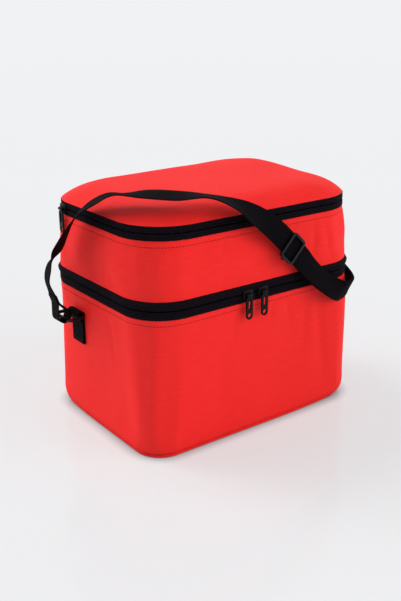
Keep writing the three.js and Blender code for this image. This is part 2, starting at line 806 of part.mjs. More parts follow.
// Middle, width and outward normal of the strap at even steps along its route
function strapFrames() {
  const line = new THREE.CatmullRomCurve3(strapRoute.map((point) => point.place), false, 'centripetal');
  const across = new THREE.CatmullRomCurve3(strapRoute.map((point) => point.way), false, 'catmullrom');
  const steps = (strapRoute.length - 1) * routeStepsPerPoint;
  const frames = [];
  for (let step = 0; step <= steps; step += 1) {
    const width = across.getPoint(step / steps).normalize();
    const normal = line.getTangent(step / steps).cross(width).normalize();
    frames.push({ middle: line.getPoint(step / steps), width, normal });
  }
  return frames;
}

// Flat webbing through frames, moved towards the bag by inwards
function ribbon(frames, inwards) {
  const rows = frames.map(({ middle, width, normal }) => {
    const corner = (side, face) => middle.clone()
      .addScaledVector(width, (side * webbingWidth) / 2)
      .addScaledVector(normal, (face * webbingThickness) / 2 - inwards);
    return [corner(1, 1), corner(-1, 1), corner(-1, -1), corner(1, -1)];
  });
  return skin(rows, [[0, 1, 2], [0, 2, 3]], 2);
}

// Adjuster: two bars in front of the strap, one behind it, and rails past the strap's edges
const adjusterPoint = strapRoute[adjusterRouteSteps];
const adjusterAcross = webbingWidth + 2 * (adjusterSideGap + adjusterRail);
const layerStep = webbingThickness + seamGap;

function adjuster() {
  const near = webbingThickness / 2 + seamGap;
  const frame = roundedRectangle(adjusterAcross, adjusterAlong, adjusterCorner);
  const windowWidth = adjusterAcross - 2 * adjusterRail;
  const windowLength = adjusterAlong - 2 * adjusterBar;
  frame.holes.push(roundedRectangle(windowWidth, windowLength, adjusterBar / 2));
  const front = extruded(frame, adjusterBar);
  front.translate(0, 0, near);
  const depth = 2 * near + 2 * adjusterBar;
  const parts = [-1, 1].map((side) => {
    const rail = new THREE.BoxGeometry(adjusterRail, adjusterBar, depth);
    rail.translate((side * (adjusterAcross - adjusterRail)) / 2, 0, 0);
    return rail;
  });
  const centreBar = rod(adjusterBar / 2, adjusterAcross - adjusterRail);
  centreBar.translate(0, 0, -near - adjusterBar / 2);
  return joined(front, ...parts, centreBar);
}

const strapAcross = adjusterPoint.way.clone().normalize();
const triGlide = add('tri_glide', adjuster(), 'plastic');
triGlide.position.copy(adjusterPoint.place);
const strapUpwards = forwards.clone().cross(strapAcross);
triGlide.quaternion.setFromRotationMatrix(
  new THREE.Matrix4().makeBasis(strapAcross, strapUpwards, forwards),
);

// The strap, and its second layer from the adjuster to the right ring
const frames = strapFrames();
const adjusterFrame = frames[adjusterRouteSteps * routeStepsPerPoint];
const returnLead = adjusterFrame.middle.clone().addScaledVector(strapUpwards, -adjusterBar / 2 - seamGap);
const returnFrames = [
  { ...adjusterFrame, middle: returnLead },
  ...frames.slice(adjusterRouteSteps * routeStepsPerPoint + 1),
];
add('shoulder_strap', ribbon(frames, 0), 'webbing');
add('strap_return', ribbon(returnFrames, layerStep), 'webbing');

export default bag;
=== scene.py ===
import math

import bmesh
import bpy
import numpy as np
from mathutils import Matrix, Vector, noise


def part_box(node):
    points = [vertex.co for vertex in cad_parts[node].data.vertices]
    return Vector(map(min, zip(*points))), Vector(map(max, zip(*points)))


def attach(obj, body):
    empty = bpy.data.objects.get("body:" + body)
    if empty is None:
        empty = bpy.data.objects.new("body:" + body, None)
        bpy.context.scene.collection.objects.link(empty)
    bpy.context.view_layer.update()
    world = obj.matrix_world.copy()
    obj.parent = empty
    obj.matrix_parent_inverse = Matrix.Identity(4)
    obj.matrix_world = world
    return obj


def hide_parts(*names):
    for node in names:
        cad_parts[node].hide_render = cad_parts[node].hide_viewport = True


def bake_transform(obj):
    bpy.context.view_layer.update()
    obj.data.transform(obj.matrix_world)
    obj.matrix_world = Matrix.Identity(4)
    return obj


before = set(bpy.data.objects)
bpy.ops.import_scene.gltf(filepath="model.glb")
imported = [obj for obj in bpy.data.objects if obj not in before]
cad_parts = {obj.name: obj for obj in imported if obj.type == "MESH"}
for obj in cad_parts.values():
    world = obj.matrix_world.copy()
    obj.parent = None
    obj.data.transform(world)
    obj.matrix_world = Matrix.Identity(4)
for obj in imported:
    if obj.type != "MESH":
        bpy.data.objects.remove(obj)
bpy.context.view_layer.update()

MM = 0.001
AXES = 3
QUAD_SIDES = 4
MATRIX_SIZE = 4

# Plan and levels of the bag
HALF_WIDTH, HALF_DEPTH, MIDDLE_EDGE_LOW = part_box("lower_zip_tape")[1]
LOWER_TAPE_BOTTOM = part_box("lower_zip_tape")[0].z
MIDDLE_EDGE_HIGH, BINDING_TOP = (corner.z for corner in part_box("upper_zip_tape"))
UPPER_TAPE_BOTTOM, TOP_EDGE_LOW = (corner.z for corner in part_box("upper_rim_tape"))
TOP_EDGE_HIGH, LID_TAPE_TOP = (corner.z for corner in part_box("lid_zip_tape"))
LID_LOW, LID_HIGH = (corner.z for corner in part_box("lid_cover"))
MIDDLE_ZIP = (MIDDLE_EDGE_LOW + MIDDLE_EDGE_HIGH) / 2
TOP_ZIP = (TOP_EDGE_LOW + TOP_EDGE_HIGH) / 2
TOP_INSET = HALF_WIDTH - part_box("lid_zip_tape")[1].x
BASE_CORNER_RADIUS = 34 * MM
MIDDLE_CORNER_RADIUS = 48 * MM
TOP_CORNER_RADIUS = 58 * MM

# Layers of the wall, and the clearances between them
SHELL_THICKNESS = 1 * MM
FOAM_THICKNESS = 6 * MM
LINER_THICKNESS = 0.8 * MM
TAPE_THICKNESS = 1 * MM
GAP = 0.3 * MM
FOAM_OUT = -SHELL_THICKNESS - GAP
LINER_OUT = FOAM_OUT - FOAM_THICKNESS - GAP
ROOM_OUT = LINER_OUT - LINER_THICKNESS

# Soft shapes of the walls and the lid
BASE_TUCK = 2.4 * MM
BASE_CORNER_TUCK = 12 * MM
BASE_CORNER_POWER = 3
BASE_TUCK_HEIGHT = 20 * MM
BASE_INSET = 1.5 * MM
PIPING_INSET = 1.1 * MM
PIPING_DROP = 0.6 * MM
PIPING_TUCK_SHARE = 1.25
LOWER_BULGE = 0.4 * MM
UPPER_BULGE = 1.5 * MM
FOLD_DEPTH = 2.8 * MM
PUCKER_DEPTH = 0.5 * MM
SEAM_DIP = 0.35 * MM
TOPSTITCH_BELOW_BAND = 6 * MM
LID_CROWN_POWER = 8
LID_SINK = 4 * MM
LID_TILT = 2 * MM
LID_PEAK = 4.5 * MM
LID_PEAK_SHARES = (0.8, 0.3)
LID_PEAK_REACH = 55 * MM
PANEL_EDGE_SHARE = 1 / 3

# Folds and puckers: waves of noise per metre round the bag and up it, their reach and their seeds.
# The lid's ripples have waves per metre and a seed.
FOLD_WAVES = (34, 6)
BROAD_FOLD_WAVES = (13, 9)
PUCKER_WAVES = (130, 12)
BROAD_FOLD_SHARE = 0.7
WALL_FOLD_SHARE = 0.6
FOLD_INWARD_SHARE = 0.3
BROAD_FOLD_SEED = 5
PUCKER_SEED = 9
FOLDS_FREE_ABOVE = 25 * MM
FOLDS_FREE_BELOW = 14 * MM
PUCKER_REACH = 7 * MM
BASE_PUCKER_REACH = 9 * MM
BASE_PUCKER_SHARE = 0.7
PUCKER_END = 3 * MM
SEAM_WIDTH = 1.3 * MM
SIDE_WALL_SHARE = 0.9
RIPPLE_DEPTH = 0.8 * MM
RIPPLES = (16, 2.3)
FINE_RIPPLES = (40, 6.1)
FINE_RIPPLE_SHARE = 0.4

# Webbing, rings and stitches
WEBBING_WIDTH = 25 * MM
WEBBING_THICKNESS = 1.4 * MM
RING_WIRE = 2 * MM
RING_CORNER = 3.5 * MM
TAB_LOOP_HEIGHT = 7.5 * MM
STRAP_LOOP_REACH = 20 * MM
STRAP_LOOP_RADIUS = 7.5 * MM
STRAP_LOOP_LIFT = 2.9 * MM
TAB_LOOP_RADIUS = 4.2 * MM
TAB_LOOP_LIFT = 0.8 * MM
STITCH_MARGIN = 3 * MM
STITCH_PITCH = 3.6 * MM
STITCH_LENGTH = 2.4 * MM
STITCH_START = 0.9 * MM
STITCH_RADIUS = 0.42 * MM
STITCH_SINK_SHARE = 0.6
STITCH_END_SHARE = 0.5

# Zips and fabric hinges. Each ridge of a band has its place, height and width, and the bound edge
# its fullness at shares of its height.
COIL_PITCH = 2 * MM
COIL_DEPTH = 2.2 * MM
COIL_TOOTH_SHARE = 0.2
HINGE_TO_COIL = 4 * MM
HINGE_STEP = 1.6 * MM
HINGE_STEP_HEIGHT = 4.5 * MM
RIDGES = (
    (1.4 * MM, 0.8 * MM, 0.8 * MM), (3.9 * MM, 0.75 * MM, 0.7 * MM), (6.1 * MM, 0.7 * MM, 0.6 * MM),
)
TAPE_EDGE = 0.9 * MM
GROOVE_EDGE_DROP = 0.4 * MM
OUTER_EDGE_DROP = 0.5 * MM
BINDING_SHARES = (0, 0.25, 0.5, 0.75, 0.92, 1)
BINDING_FULLNESS = (0, 1 * MM, 2 * MM, 2.3 * MM, 1.6 * MM, 0.2 * MM)

# Sampling of the shapes, and the angles in degrees from which an edge stays sharp
WALL_SPACING = 2.5 * MM
WALL_ROWS = 66
WALL_ROW_POWER = 1.3
TAPE_ROWS = 44
CROWN_ROWS = 34
CROWN_ROW_POWER = 0.9
COIL_COLUMNS_PER_TOOTH = 4
COIL_SIDES = 8
PIPING_SIDES = 14
RIBBON_COLUMNS = 13
RIBBON_EDGE_STEPS = 5
STRAP_STEPS = 10
LOOP_LEG_STEPS = 14
LOOP_BRIDGE_STEPS = 12
LOOP_ARC_STEPS = 28
LOOP_SMOOTHINGS = 3
RING_CORNER_STEPS = 9
RING_SIDES = 16
HINGE_ROWS = 16
HINGE_COLUMNS = 60
BEVEL_STEPS = 3
WELD_REACH = 0.01 * MM
SHARP_ANGLE = 40
ROUND_ANGLE = 60
CROWN_ANGLE = 50
BEVEL_ANGLE = 35

# Light and floor, in colours from 0 to 255. Each lamp has the way towards it, its width in
# degrees and its light.
BACKDROP_COLOUR = (241, 242, 244)
FLOOR_COLOUR = (231, 234, 236)
GLOW_COLOUR = (241, 241, 242)
WORLD_FILL = 0.6
FLOOR_LIFT = 0.6
FLOOR_REACH = 6
# Painted contact shade on the floor: how far its ambient occlusion reaches and how many samples it
# takes
PAINTED_SHADE_REACH = 14 * MM
PAINTED_SHADE_SAMPLES = 16
LAMPS = (
    ("window", (-0.7, 1.05, 0.25), 55, 0.66),
    ("top_left", (-0.32, 0.8, 1.15), 22, 0.28),
    ("front_fill", (0.8, -1.1, 0.3), 50, 0.57),
)

# Camera of the photograph, in metres and degrees, and its focal length in pixels
CAMERA_PLACE = Vector((-0.5679, -0.7701, 0.4628))
CAMERA_TURN = -36.15
CAMERA_DOWN = 19.66
CAMERA_ROLL = -0.45
CAMERA_FOCAL_PIXELS = 847.5
PHOTO_HEIGHT_PIXELS = 601
SENSOR = 36
NEAR_CLIP = 0.01
FAR_CLIP = 50

# Middle line of the strap from the left ring to the right one, as in the CAD
# source: a place in shares of the half width, the half depth and the height from the rings to
# the lid's top, then the way across the strap's width.
STRAP_ROUTE_SHARES = [
    (-1.213, 0.3, 0.198, 0.12, 0.99, 0),
    (-1.237, 0.326, 0.31, 0.26, 0.96, 0),
    (-1.22, 0.298, 0.425, 0.34, 0.94, 0),
    (-1.17, 0.259, 0.538, 0.81, 0.59, -0.05),
    (-1.135, 0.198, 0.65, 0.79, 0.61, 0.06),
    (-1.109, 0.125, 0.748, 0.75, 0.63, 0.2),
    (-1.063, -0.036, 0.884, 0.77, 0.57, 0.28),
    (-0.996, -0.25, 0.987, 0.82, 0.52, 0.24),
    (-0.931, -0.422, 1.031, 0.86, 0.5, -0.12),
    (-0.824, -0.636, 1.047, 0.76, 0.64, 0.11),
    (-0.669, -0.848, 1.041, 0.61, 0.76, 0.16),
    (-0.503, -0.983, 1.033, 0.38, 0.92, -0.04),
    (-0.312, -1.07, 0.958, 0.4, 0.86, 0.3),
    (-0.182, -1.095, 0.878, 0.5, 0.56, 0.66),
    (-0.072, -1.096, 0.803, 0.6, 0.3, 0.74),
    (0.051, -1.096, 0.702, 0.68, 0.05, 0.73),
    (0.193, -1.096, 0.558, 0.69, 0, 0.72),
    (0.29, -1.096, 0.455, 0.7, 0.02, 0.71),
    (0.376, -1.096, 0.359, 0.68, 0.16, 0.71),
    (0.475, -1.098, 0.264, 0.62, 0.28, 0.73),
    (0.568, -1.102, 0.187, 0.52, 0.32, 0.79),
    (0.655, -1.1, 0.129, 0.46, 0.14, 0.88),
    (0.717, -1.093, 0.095, 0.54, -0.08, 0.84),
    (0.783, -1.064, 0.08, 0.6, -0.16, 0.78),
    (0.856, -1.024, 0.081, 0.42, -0.2, 0.88),
    (0.937, -0.924, 0.088, 0.11, -0.2, 0.97),
    (0.999, -0.771, 0.11, -0.04, -0.26, 0.96),
    (1.037, -0.591, 0.153, -0.14, -0.36, 0.92),
    (1.097, -0.227, 0.254, -0.1, -0.38, 0.92),
    (1.133, -0.036, 0.31, -0.1, -0.3, 0.95),
    (1.18, 0.127, 0.345, -0.05, 0, 1),
    (1.22, 0.236, 0.324, 0, 0.68, 0.73),
    (1.237, 0.286, 0.261, 0, 0.95, 0.3),
    (1.213, 0.3, 0.198, 0, 1, 0),
]
ADJUSTER_ROUTE_STEP = 16

# Creases in the cloth, in millimetres: the way round from the middle of the back, the height,
# half the length, half the width, the depth, and how far round it leans as it rises.
LOWER_CREASES = (
    (232, 136, 13, 3.2, 1.1, 0.2), (272, 120, 26, 5, 1, -0.1), (330, 90, 45, 7, 1.2, 0.04),
    (440, 132, 16, 4, 0.9, 0.1), (492, 138, 14, 3.2, 1.2, 0.15), (516, 132, 20, 4, 1.3, -0.12),
    (540, 112, 32, 5, 1.4, 0.08), (563, 84, 44, 6, 1.5, -0.05), (425, 60, 40, 9, 1, 0.05),
)
UPPER_CREASES = (
    (214, 206, 24, 5, 1.5, -0.3), (266, 184, 12, 3, 1.2, 0.25), (286, 182, 10, 3, 1.2, -0.2),
    (335, 214, 20, 5, 1, 0.1), (420, 226, 10, 3, 0.9, 0.1), (470, 190, 20, 5, 0.9, -0.1),
    (556, 206, 22, 4.5, 1.4, 0.12), (578, 198, 24, 5, 1.4, -0.1),
)


# Materials
SRGB_FULL = 255
SRGB_POWER = 2.4
SRGB_OFFSET = 0.055
SRGB_DARK_END = 0.04045
SRGB_DARK_SLOPE = 12.92
BLEND_SHARES = (0.3, 0.7)
WOVEN_SMOOTHER = 0.08
MOULDED_SMOOTHER = 0.06
ROUGHER = 0.1


def linear(*channels):
    """Scene colour of an sRGB colour given from 0 to 255."""
    def curve(share):
        if share <= SRGB_DARK_END:
            return share / SRGB_DARK_SLOPE
        return ((share + SRGB_OFFSET) / (1 + SRGB_OFFSET)) ** SRGB_POWER
    return [curve(value / SRGB_FULL) for value in channels] + [1]


def make_material(name, colour, roughness, specular=0.5, metallic=0.0):
    material = bpy.data.materials.new(name)
    material.use_nodes = True
    values = {"Base Color": colour, "Roughness": roughness, "Metallic": metallic,
              "Specular IOR Level": specular}
    for entry, value in values.items():
        shader_of(material).inputs[entry].default_value = value
    return material


def shader_of(material):
    return material.node_tree.nodes["Principled BSDF"]


def add_node(material, kind, **values):
    made = material.node_tree.nodes.new(kind)
    for name, value in values.items():
        if name in made.inputs:
            made.inputs[name].default_value = value
        else:
            setattr(made, name, value)
    return made


def join(material, source, target):
    material.node_tree.links.new(source, target)


def calculate(material, operation, first, second):
    """Maths on a socket and a socket or number."""
    made = add_node(material, "ShaderNodeMath", operation=operation)
    join(material, first, made.inputs[0])
    if isinstance(second, bpy.types.NodeSocket):
        join(material, second, made.inputs[1])
    else:
        made.inputs[1].default_value = second
    return made.outputs[0]


def wave(material, distance, period):
    """Sine of a distance in metres."""
    turned = calculate(material, "MULTIPLY", distance, 2 * math.pi / period)
    return calculate(material, "SINE", turned, 0)


def surface_map(material):
    """The piece's own map in metres: one vector, and its two directions."""
    coordinates = add_node(material, "ShaderNodeUVMap", uv_map="surface")
    split = add_node(material, "ShaderNodeSeparateXYZ")
    join(material, coordinates.outputs["UV"], split.inputs[0])
    return coordinates.outputs["UV"], split.outputs["X"], split.outputs["Y"]


def grains(material, vector, scale, detail=2.0):
    """Noise with its own number of grains per metre for each axis."""
    mapping = add_node(material, "ShaderNodeMapping")
    join(material, vector, mapping.inputs["Vector"])
    mapping.inputs["Scale"].default_value = scale
    texture = add_node(material, "ShaderNodeTexNoise", Scale=1.0, Detail=detail)
    join(material, mapping.outputs["Vector"], texture.inputs["Vector"])
    return texture.outputs["Fac"]


def add_bump(material, height, strength, depth):
    bump = add_node(material, "ShaderNodeBump", Strength=strength, Distance=depth)
    join(material, height, bump.inputs["Height"])
    normal = shader_of(material).inputs["Normal"]
    if normal.is_linked:
        join(material, normal.links[0].from_socket, bump.inputs["Normal"])
    join(material, bump.outputs["Normal"], normal)


def blend_range(material, factor, low, high, entry):
    """A shader entry that runs between two values with a factor."""
    spread = add_node(material, "ShaderNodeValToRGB")
    for element, value, position in zip(spread.color_ramp.elements, (low, high), BLEND_SHARES):
        element.color = value
        element.position = position
    join(material, factor, spread.inputs["Fac"])
    join(material, spread.outputs["Color"], shader_of(material).inputs[entry])


def vary_roughness(material, vector, scale, low, high):
    low, high = ([value] * AXES + [1] for value in (low, high))
    blend_range(material, grains(material, vector, scale), low, high, "Roughness")


def weave(material, across, along, thread):
    """Height of threads that cross."""
    waves = [wave(material, distance, thread) for distance in (across, along)]
    return calculate(material, "MULTIPLY", *waves)


def fabric_material(name, colour, low, high, thread):
    material = make_material(name, colour, roughness=0.68, specular=0.25)
    vector, around, up = surface_map(material)
    blend_range(material, grains(material, vector, scale=(50, 900, 1)), low, high, "Base Color")
    vary_roughness(material, vector, scale=(400, 400, 1), low=0.62, high=0.74)
    add_bump(material, weave(material, around, up, thread), strength=0.5, depth=0.12 * MM)
    wrinkles = grains(material, vector, scale=(45, 30, 1), detail=1)
    add_bump(material, wrinkles, strength=0.2, depth=1.2 * MM)
    return material


def woven_black_material(name, colour, roughness, thread, rib, twill, pale_share=5):
    """Tape or webbing: crossing threads, with ribs along its length and a slanting twill."""
    material = make_material(name, colour, roughness, specular=0.07)
    vector, across, along = surface_map(material)
    add_bump(material, weave(material, across, along, thread), strength=0.7, depth=0.25 * MM)
    add_bump(material, wave(material, along, rib), strength=0.4, depth=0.2 * MM)
    slant = wave(material, calculate(material, "ADD", across, along), twill)
    mottle = calculate(material, "MULTIPLY", calculate(material, "ADD", slant, 1),
                       grains(material, vector, scale=(300, 300, 1)))
    paler = [channel * pale_share for channel in colour[:-1]] + [1]
    blend_range(material, mottle, colour, paler, "Base Color")
    vary_roughness(material, vector, (500, 500, 1), roughness - WOVEN_SMOOTHER, roughness + ROUGHER)
    return material


def moulded_material(name, colour, roughness, grain, specular=0.25, pale_share=1.8, pale_lift=0.002):
    material = make_material(name, colour, roughness, specular)
    vector = add_node(material, "ShaderNodeTexCoord").outputs["Object"]
    fine = grains(material, vector, scale=(1 / grain, 1 / grain, 1 / grain), detail=3)
    add_bump(material, fine, strength=0.15, depth=0.1 * MM)
    paler = [channel * pale_share + pale_lift for channel in colour[:-1]] + [1]
    blend_range(material, grains(material, vector, scale=(90, 90, 90)), colour, paler, "Base Color")
    low, high = roughness - MOULDED_SMOOTHER, roughness + ROUGHER
    vary_roughness(material, vector, (260, 260, 260), low, high)
    return material


def thread_material(name, colour):
    material = make_material(name, colour, roughness=0.6, specular=0.3)
    vector = add_node(material, "ShaderNodeTexCoord").outputs["Object"]
    fibres = grains(material, vector, scale=(2500, 2500, 2500))
    add_bump(material, fibres, strength=0.5, depth=0.1 * MM)
    return material


def cellular_material(name, colour, feature, cells, strength, depth, blotches, low, high, **gloss):
    """Film or foam: cells of a Voronoi pattern as relief, and a blotchy colour."""
    material = make_material(name, colour, **gloss)
    vector = surface_map(material)[0]
    pattern = add_node(material, "ShaderNodeTexVoronoi", Scale=cells, feature=feature)
    join(material, vector, pattern.inputs["Vector"])
    add_bump(material, pattern.outputs["Distance"], strength, depth)
    blend_range(material, grains(material, vector, blotches), low, high, "Base Color")
    return material


FABRIC = fabric_material("red_polyester_cloth", linear(246, 36, 33), thread=1.2 * MM,
                         low=linear(242, 34, 31), high=linear(251, 39, 36))
TAPE = woven_black_material("black_woven_tape", linear(6, 4, 7), roughness=0.78,
                            thread=1.2 * MM, rib=1.8 * MM, twill=1.4 * MM)
WEBBING = woven_black_material("black_webbing_weave", linear(3, 2, 3), roughness=0.86,
                               thread=2.2 * MM, rib=2.6 * MM, twill=3.4 * MM)
THREAD = thread_material("dark_red_thread", linear(105, 10, 10))
BLACK_THREAD = thread_material("black_thread", linear(26, 25, 29))
FILM = cellular_material("silver_film", linear(196, 199, 204), roughness=0.34, metallic=0.55,
                         feature="DISTANCE_TO_EDGE", cells=140, strength=0.35, depth=0.6 * MM,
                         blotches=(30, 30, 1), low=linear(184, 188, 194), high=linear(206, 209, 213))
FOAM = cellular_material("closed_cell_foam", linear(222, 225, 227), roughness=0.85, specular=0.3,
                         feature="F1", cells=900, strength=0.4, depth=0.3 * MM,
                         blotches=(60, 60, 1), low=linear(214, 217, 220), high=linear(228, 230, 232))
PLASTIC = moulded_material("black_moulded_plastic", linear(7, 7, 8), roughness=0.3, grain=0.5 * MM)
METAL = moulded_material("black_painted_metal", linear(8, 8, 9), roughness=0.36, grain=0.4 * MM,
                         specular=0.12)
COIL = moulded_material("black_coil_nylon", linear(12, 12, 14), roughness=0.42, grain=0.3 * MM)
BOARD = moulded_material("black_board", linear(48, 48, 52), roughness=0.6, grain=0.8 * MM)


# Meshes
def link(name, data):
    made = bpy.data.objects.new(name, data)
    bpy.context.scene.collection.objects.link(made)
    return made


def add_object(name, mesh, material):
    mesh.materials.append(material)
    return link(name, mesh)


def finish_faces(mesh, sharp, close=False):
    """Turns the faces outwards, closes open rims where asked, and shades them smooth up to an angle."""
    work = bmesh.new()
    work.from_mesh(mesh)
    if close:
        rims = [edge for edge in work.edges if edge.is_boundary]
        caps = bmesh.ops.holes_fill(work, edges=rims, sides=0)["faces"]
        surface = work.loops.layers.uv.active
        for loop in (loop for face in caps for loop in face.loops):
            loop[surface].uv = loop.vert.co.xy
        bmesh.ops.triangulate(work, faces=[face for face in caps if len(face.verts) > QUAD_SIDES])
    bmesh.ops.recalc_face_normals(work, faces=work.faces)
    for face in work.faces:
        face.smooth = True
    work.to_mesh(mesh)
    work.free()
    mesh.set_sharp_from_angle(angle=math.radians(sharp))


def index_pairs(rows, columns):
    return (part.ravel() for part in np.meshgrid(np.arange(rows), np.arange(columns), indexing="ij"))


def new_mesh(name, points, faces):
    mesh = bpy.data.meshes.new(name)
    mesh.from_pydata(points, [], faces)
    return mesh


def grid_piece(name, points, wrap_rows, wrap_columns, uv, material, sharp=SHARP_ANGLE, close=False):
    """Piece of quads through a grid of points, with its map in metres."""
    rows, columns = points.shape[:2]
    row, column = index_pairs(rows if wrap_rows else rows - 1,
                              columns if wrap_columns else columns - 1)
    steps = ((0, 0), (0, 1), (1, 1), (1, 0))
    faces = [(row + down) % rows * columns + (column + on) % columns for down, on in steps]
    face_uv = np.stack([uv[row + down, column + on] for down, on in steps], axis=1)
    mesh = new_mesh(name, points.reshape(-1, AXES).tolist(), np.stack(faces, axis=1).tolist())
    layer = mesh.uv_layers.new(name="surface")
    layer.data.foreach_set("uv", face_uv.astype(np.float32).ravel())
    finish_faces(mesh, sharp, close)
    return add_object(name, mesh, material)


def place(piece, body, slot, *nodes):
    """Rides a piece on a body and hides the nodes that it stands for. The slot is not used."""
    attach(piece, body)
    if nodes:
        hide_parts(*nodes)
    return piece


def hump(value, centre, width):
    return np.exp(-((value - centre) / width) ** 2)


def ease(value):
    """Smooth step from 0 to 1."""
    share = np.clip(value, 0, 1)
    return share * share * (1 + 2 * (1 - share))


# Round the bag: each column has an anchor, which is a share of the straight half lengths, and a
# way out of the wall. A point of the plan is anchor * (half - radius) + way * (radius + out).
def plan_columns(spacing, open_share=0):
    """Columns from the middle of the back, anticlockwise, with a share of the back left open."""
    radius = MIDDLE_CORNER_RADIUS
    half_lengths = (HALF_WIDTH - radius, HALF_DEPTH - radius)
    quarter = math.pi / 2
    corners = ((-1, 1), (-1, -1), (1, -1), (1, 1))
    anchors, ways = [], []

    def straight(first, last, way):
        first, last = np.array(first, float), np.array(last, float)
        length = np.linalg.norm((last - first) * half_lengths)
        for share in np.linspace(0, 1, math.ceil(length / spacing), endpoint=False):
            anchors.append(first * (1 - share) + last * share)
            ways.append(way)

    def corner(anchor, turn):
        for share in np.linspace(0, 1, math.ceil(radius * quarter / spacing), endpoint=False):
            angle = quarter * (turn + share)
            anchors.append(np.array(anchor, float))
            ways.append((math.cos(angle), math.sin(angle)))

    straight((-open_share, 1), corners[0], (0, 1))
    for turn, anchor in enumerate(corners, 1):
        corner(anchor, turn)
        if turn < len(corners):
            way = (math.cos(quarter * (turn + 1)), math.sin(quarter * (turn + 1)))
            straight(anchor, corners[turn], way)
    straight(corners[-1], (open_share, 1), (0, 1))
    if open_share:
        anchors.append(np.array((open_share, 1)))
        ways.append((0, 1))
    return np.array(anchors, float), np.array(ways, float)


def round_bag(columns, outs, heights):
    """Grid of points for outs and heights given by row and column."""
    anchors, ways = columns
    levels = (0, MIDDLE_ZIP, TOP_ZIP)
    radius = np.interp(heights, levels, (BASE_CORNER_RADIUS, MIDDLE_CORNER_RADIUS, TOP_CORNER_RADIUS))
    half = np.array((HALF_WIDTH, HALF_DEPTH))
    flat = anchors[None] * (half - radius[..., None]) + ways[None] * (radius + outs)[..., None]
    return np.concatenate([flat, heights[..., None]], axis=2)


def lengths_along(line):
    steps = np.linalg.norm(np.diff(line, axis=0), axis=1)
    return np.concatenate([[0], np.cumsum(steps)])


def closed(line):
    return np.vstack([line, line[:1]])


def circle(sides):
    """Angles of the corners of a round section."""
    return np.linspace(0, 2 * math.pi, sides, endpoint=False)


def level_line(columns, out, height):
    """Line round the bag at one height."""
    shape = (1, len(columns[0]))
    return round_bag(columns, np.full(shape, out), np.full(shape, height))[0]


ALL_ROUND = plan_columns(WALL_SPACING)
PLAN = level_line(ALL_ROUND, 0, MIDDLE_ZIP)
ROUND_LENGTHS = lengths_along(closed(PLAN))


def band_grid(profile, relief=0):
    """Points and map of a profile of (out, height) carried round the bag."""
    profile = np.array(profile, float)
    outs = np.repeat(profile[:, :1], len(PLAN), axis=1) + relief
    heights = np.repeat(profile[:, 1:], len(PLAN), axis=1)
    around, along = np.meshgrid(ROUND_LENGTHS, lengths_along(closed(profile)))
    return round_bag(ALL_ROUND, outs, heights), np.stack([around, along], axis=2)


def ring_band(name, profile, material, relief=0):
    points, uv = band_grid(profile, relief)
    return grid_piece(name, points, True, True, uv, material)


def tub(name, profile, material, relief=0):
    """A profile carried round the bag, whose two ends close over the middle."""
    points, uv = band_grid(profile, relief)
    return grid_piece(name, points, False, True, uv, material, close=True)


# Threads: many short round strands in one piece
def strands(name, starts, ends, ways, material, sides=6, rings=5):
    """Low arches from start to end that stand up along ways and dip in at both ends."""
    share = np.linspace(0, 1, rings)
    arch = np.sin(math.pi * share)
    run = (ends - starts) / np.linalg.norm(ends - starts, axis=1)[:, None]
    across = np.cross(run, ways)
    middles = starts[:, None] + (ends - starts)[:, None] * share[None, :, None]
    middles = middles + ways[:, None] * (STITCH_RADIUS * (arch - STITCH_SINK_SHARE))[None, :, None]
    size = STITCH_RADIUS * (STITCH_END_SHARE + (1 - STITCH_END_SHARE) * arch)
    angles = circle(sides)
    section = (np.cos(angles)[None, None, :, None] * ways[:, None, None]
               + np.sin(angles)[None, None, :, None] * across[:, None, None])
    points = middles[:, :, None] + size[None, :, None, None] * section
    ring, side = index_pairs(rings - 1, sides)
    following = (side + 1) % sides
    quads = np.stack([ring * sides + side, ring * sides + following,
                      (ring + 1) * sides + following, (ring + 1) * sides + side], axis=1)
    first = np.arange(len(starts))[:, None, None] * rings * sides
    faces = (quads[None] + first).reshape(-1, QUAD_SIDES).tolist()
    caps = np.stack([np.arange(sides)[::-1], (rings - 1) * sides + np.arange(sides)])
    faces += (caps[None] + first).reshape(-1, sides).tolist()
    mesh = new_mesh(name, points.reshape(-1, AXES).tolist(), faces)
    finish_faces(mesh, ROUND_ANGLE)
    return add_object(name, mesh, material)


def stitch_line(line, ways):
    """Starts, ends and ways of the stitches along a line."""
    reach = lengths_along(line)

    def at(values, distances):
        return np.stack([np.interp(distances, reach, values[:, axis]) for axis in range(AXES)], axis=1)

    first = np.arange(STITCH_START, reach[-1] - STITCH_LENGTH, STITCH_PITCH)
    return at(line, first), at(line, first + STITCH_LENGTH), at(ways, first + STITCH_LENGTH / 2)


def sew(name, lines, material):
    """Stitches along several lines, each given with its ways out of the cloth."""
    parts = [stitch_line(np.array(line, float), np.array(ways, float)) for line, ways in lines]
    starts, ends, ways = (np.concatenate(group) for group in zip(*parts))
    return strands(name, starts, ends, ways, material)


# Walls of the cases and their foam
def tucked(heights, low):
    """How far a wall is drawn in near the base, by height and column: most at two far corners."""
    rounding = 1 - np.clip((heights - low) / BASE_TUCK_HEIGHT, 0, 1)
    off_middle = PLAN[:, 0] / HALF_WIDTH * PLAN[:, 1] / HALF_DEPTH
    far_corners = np.clip(-off_middle, 0, 1) ** BASE_CORNER_POWER
    return (1 - np.sqrt(1 - rounding[:, None] ** 2)) * (BASE_TUCK + BASE_CORNER_TUCK * far_corners)


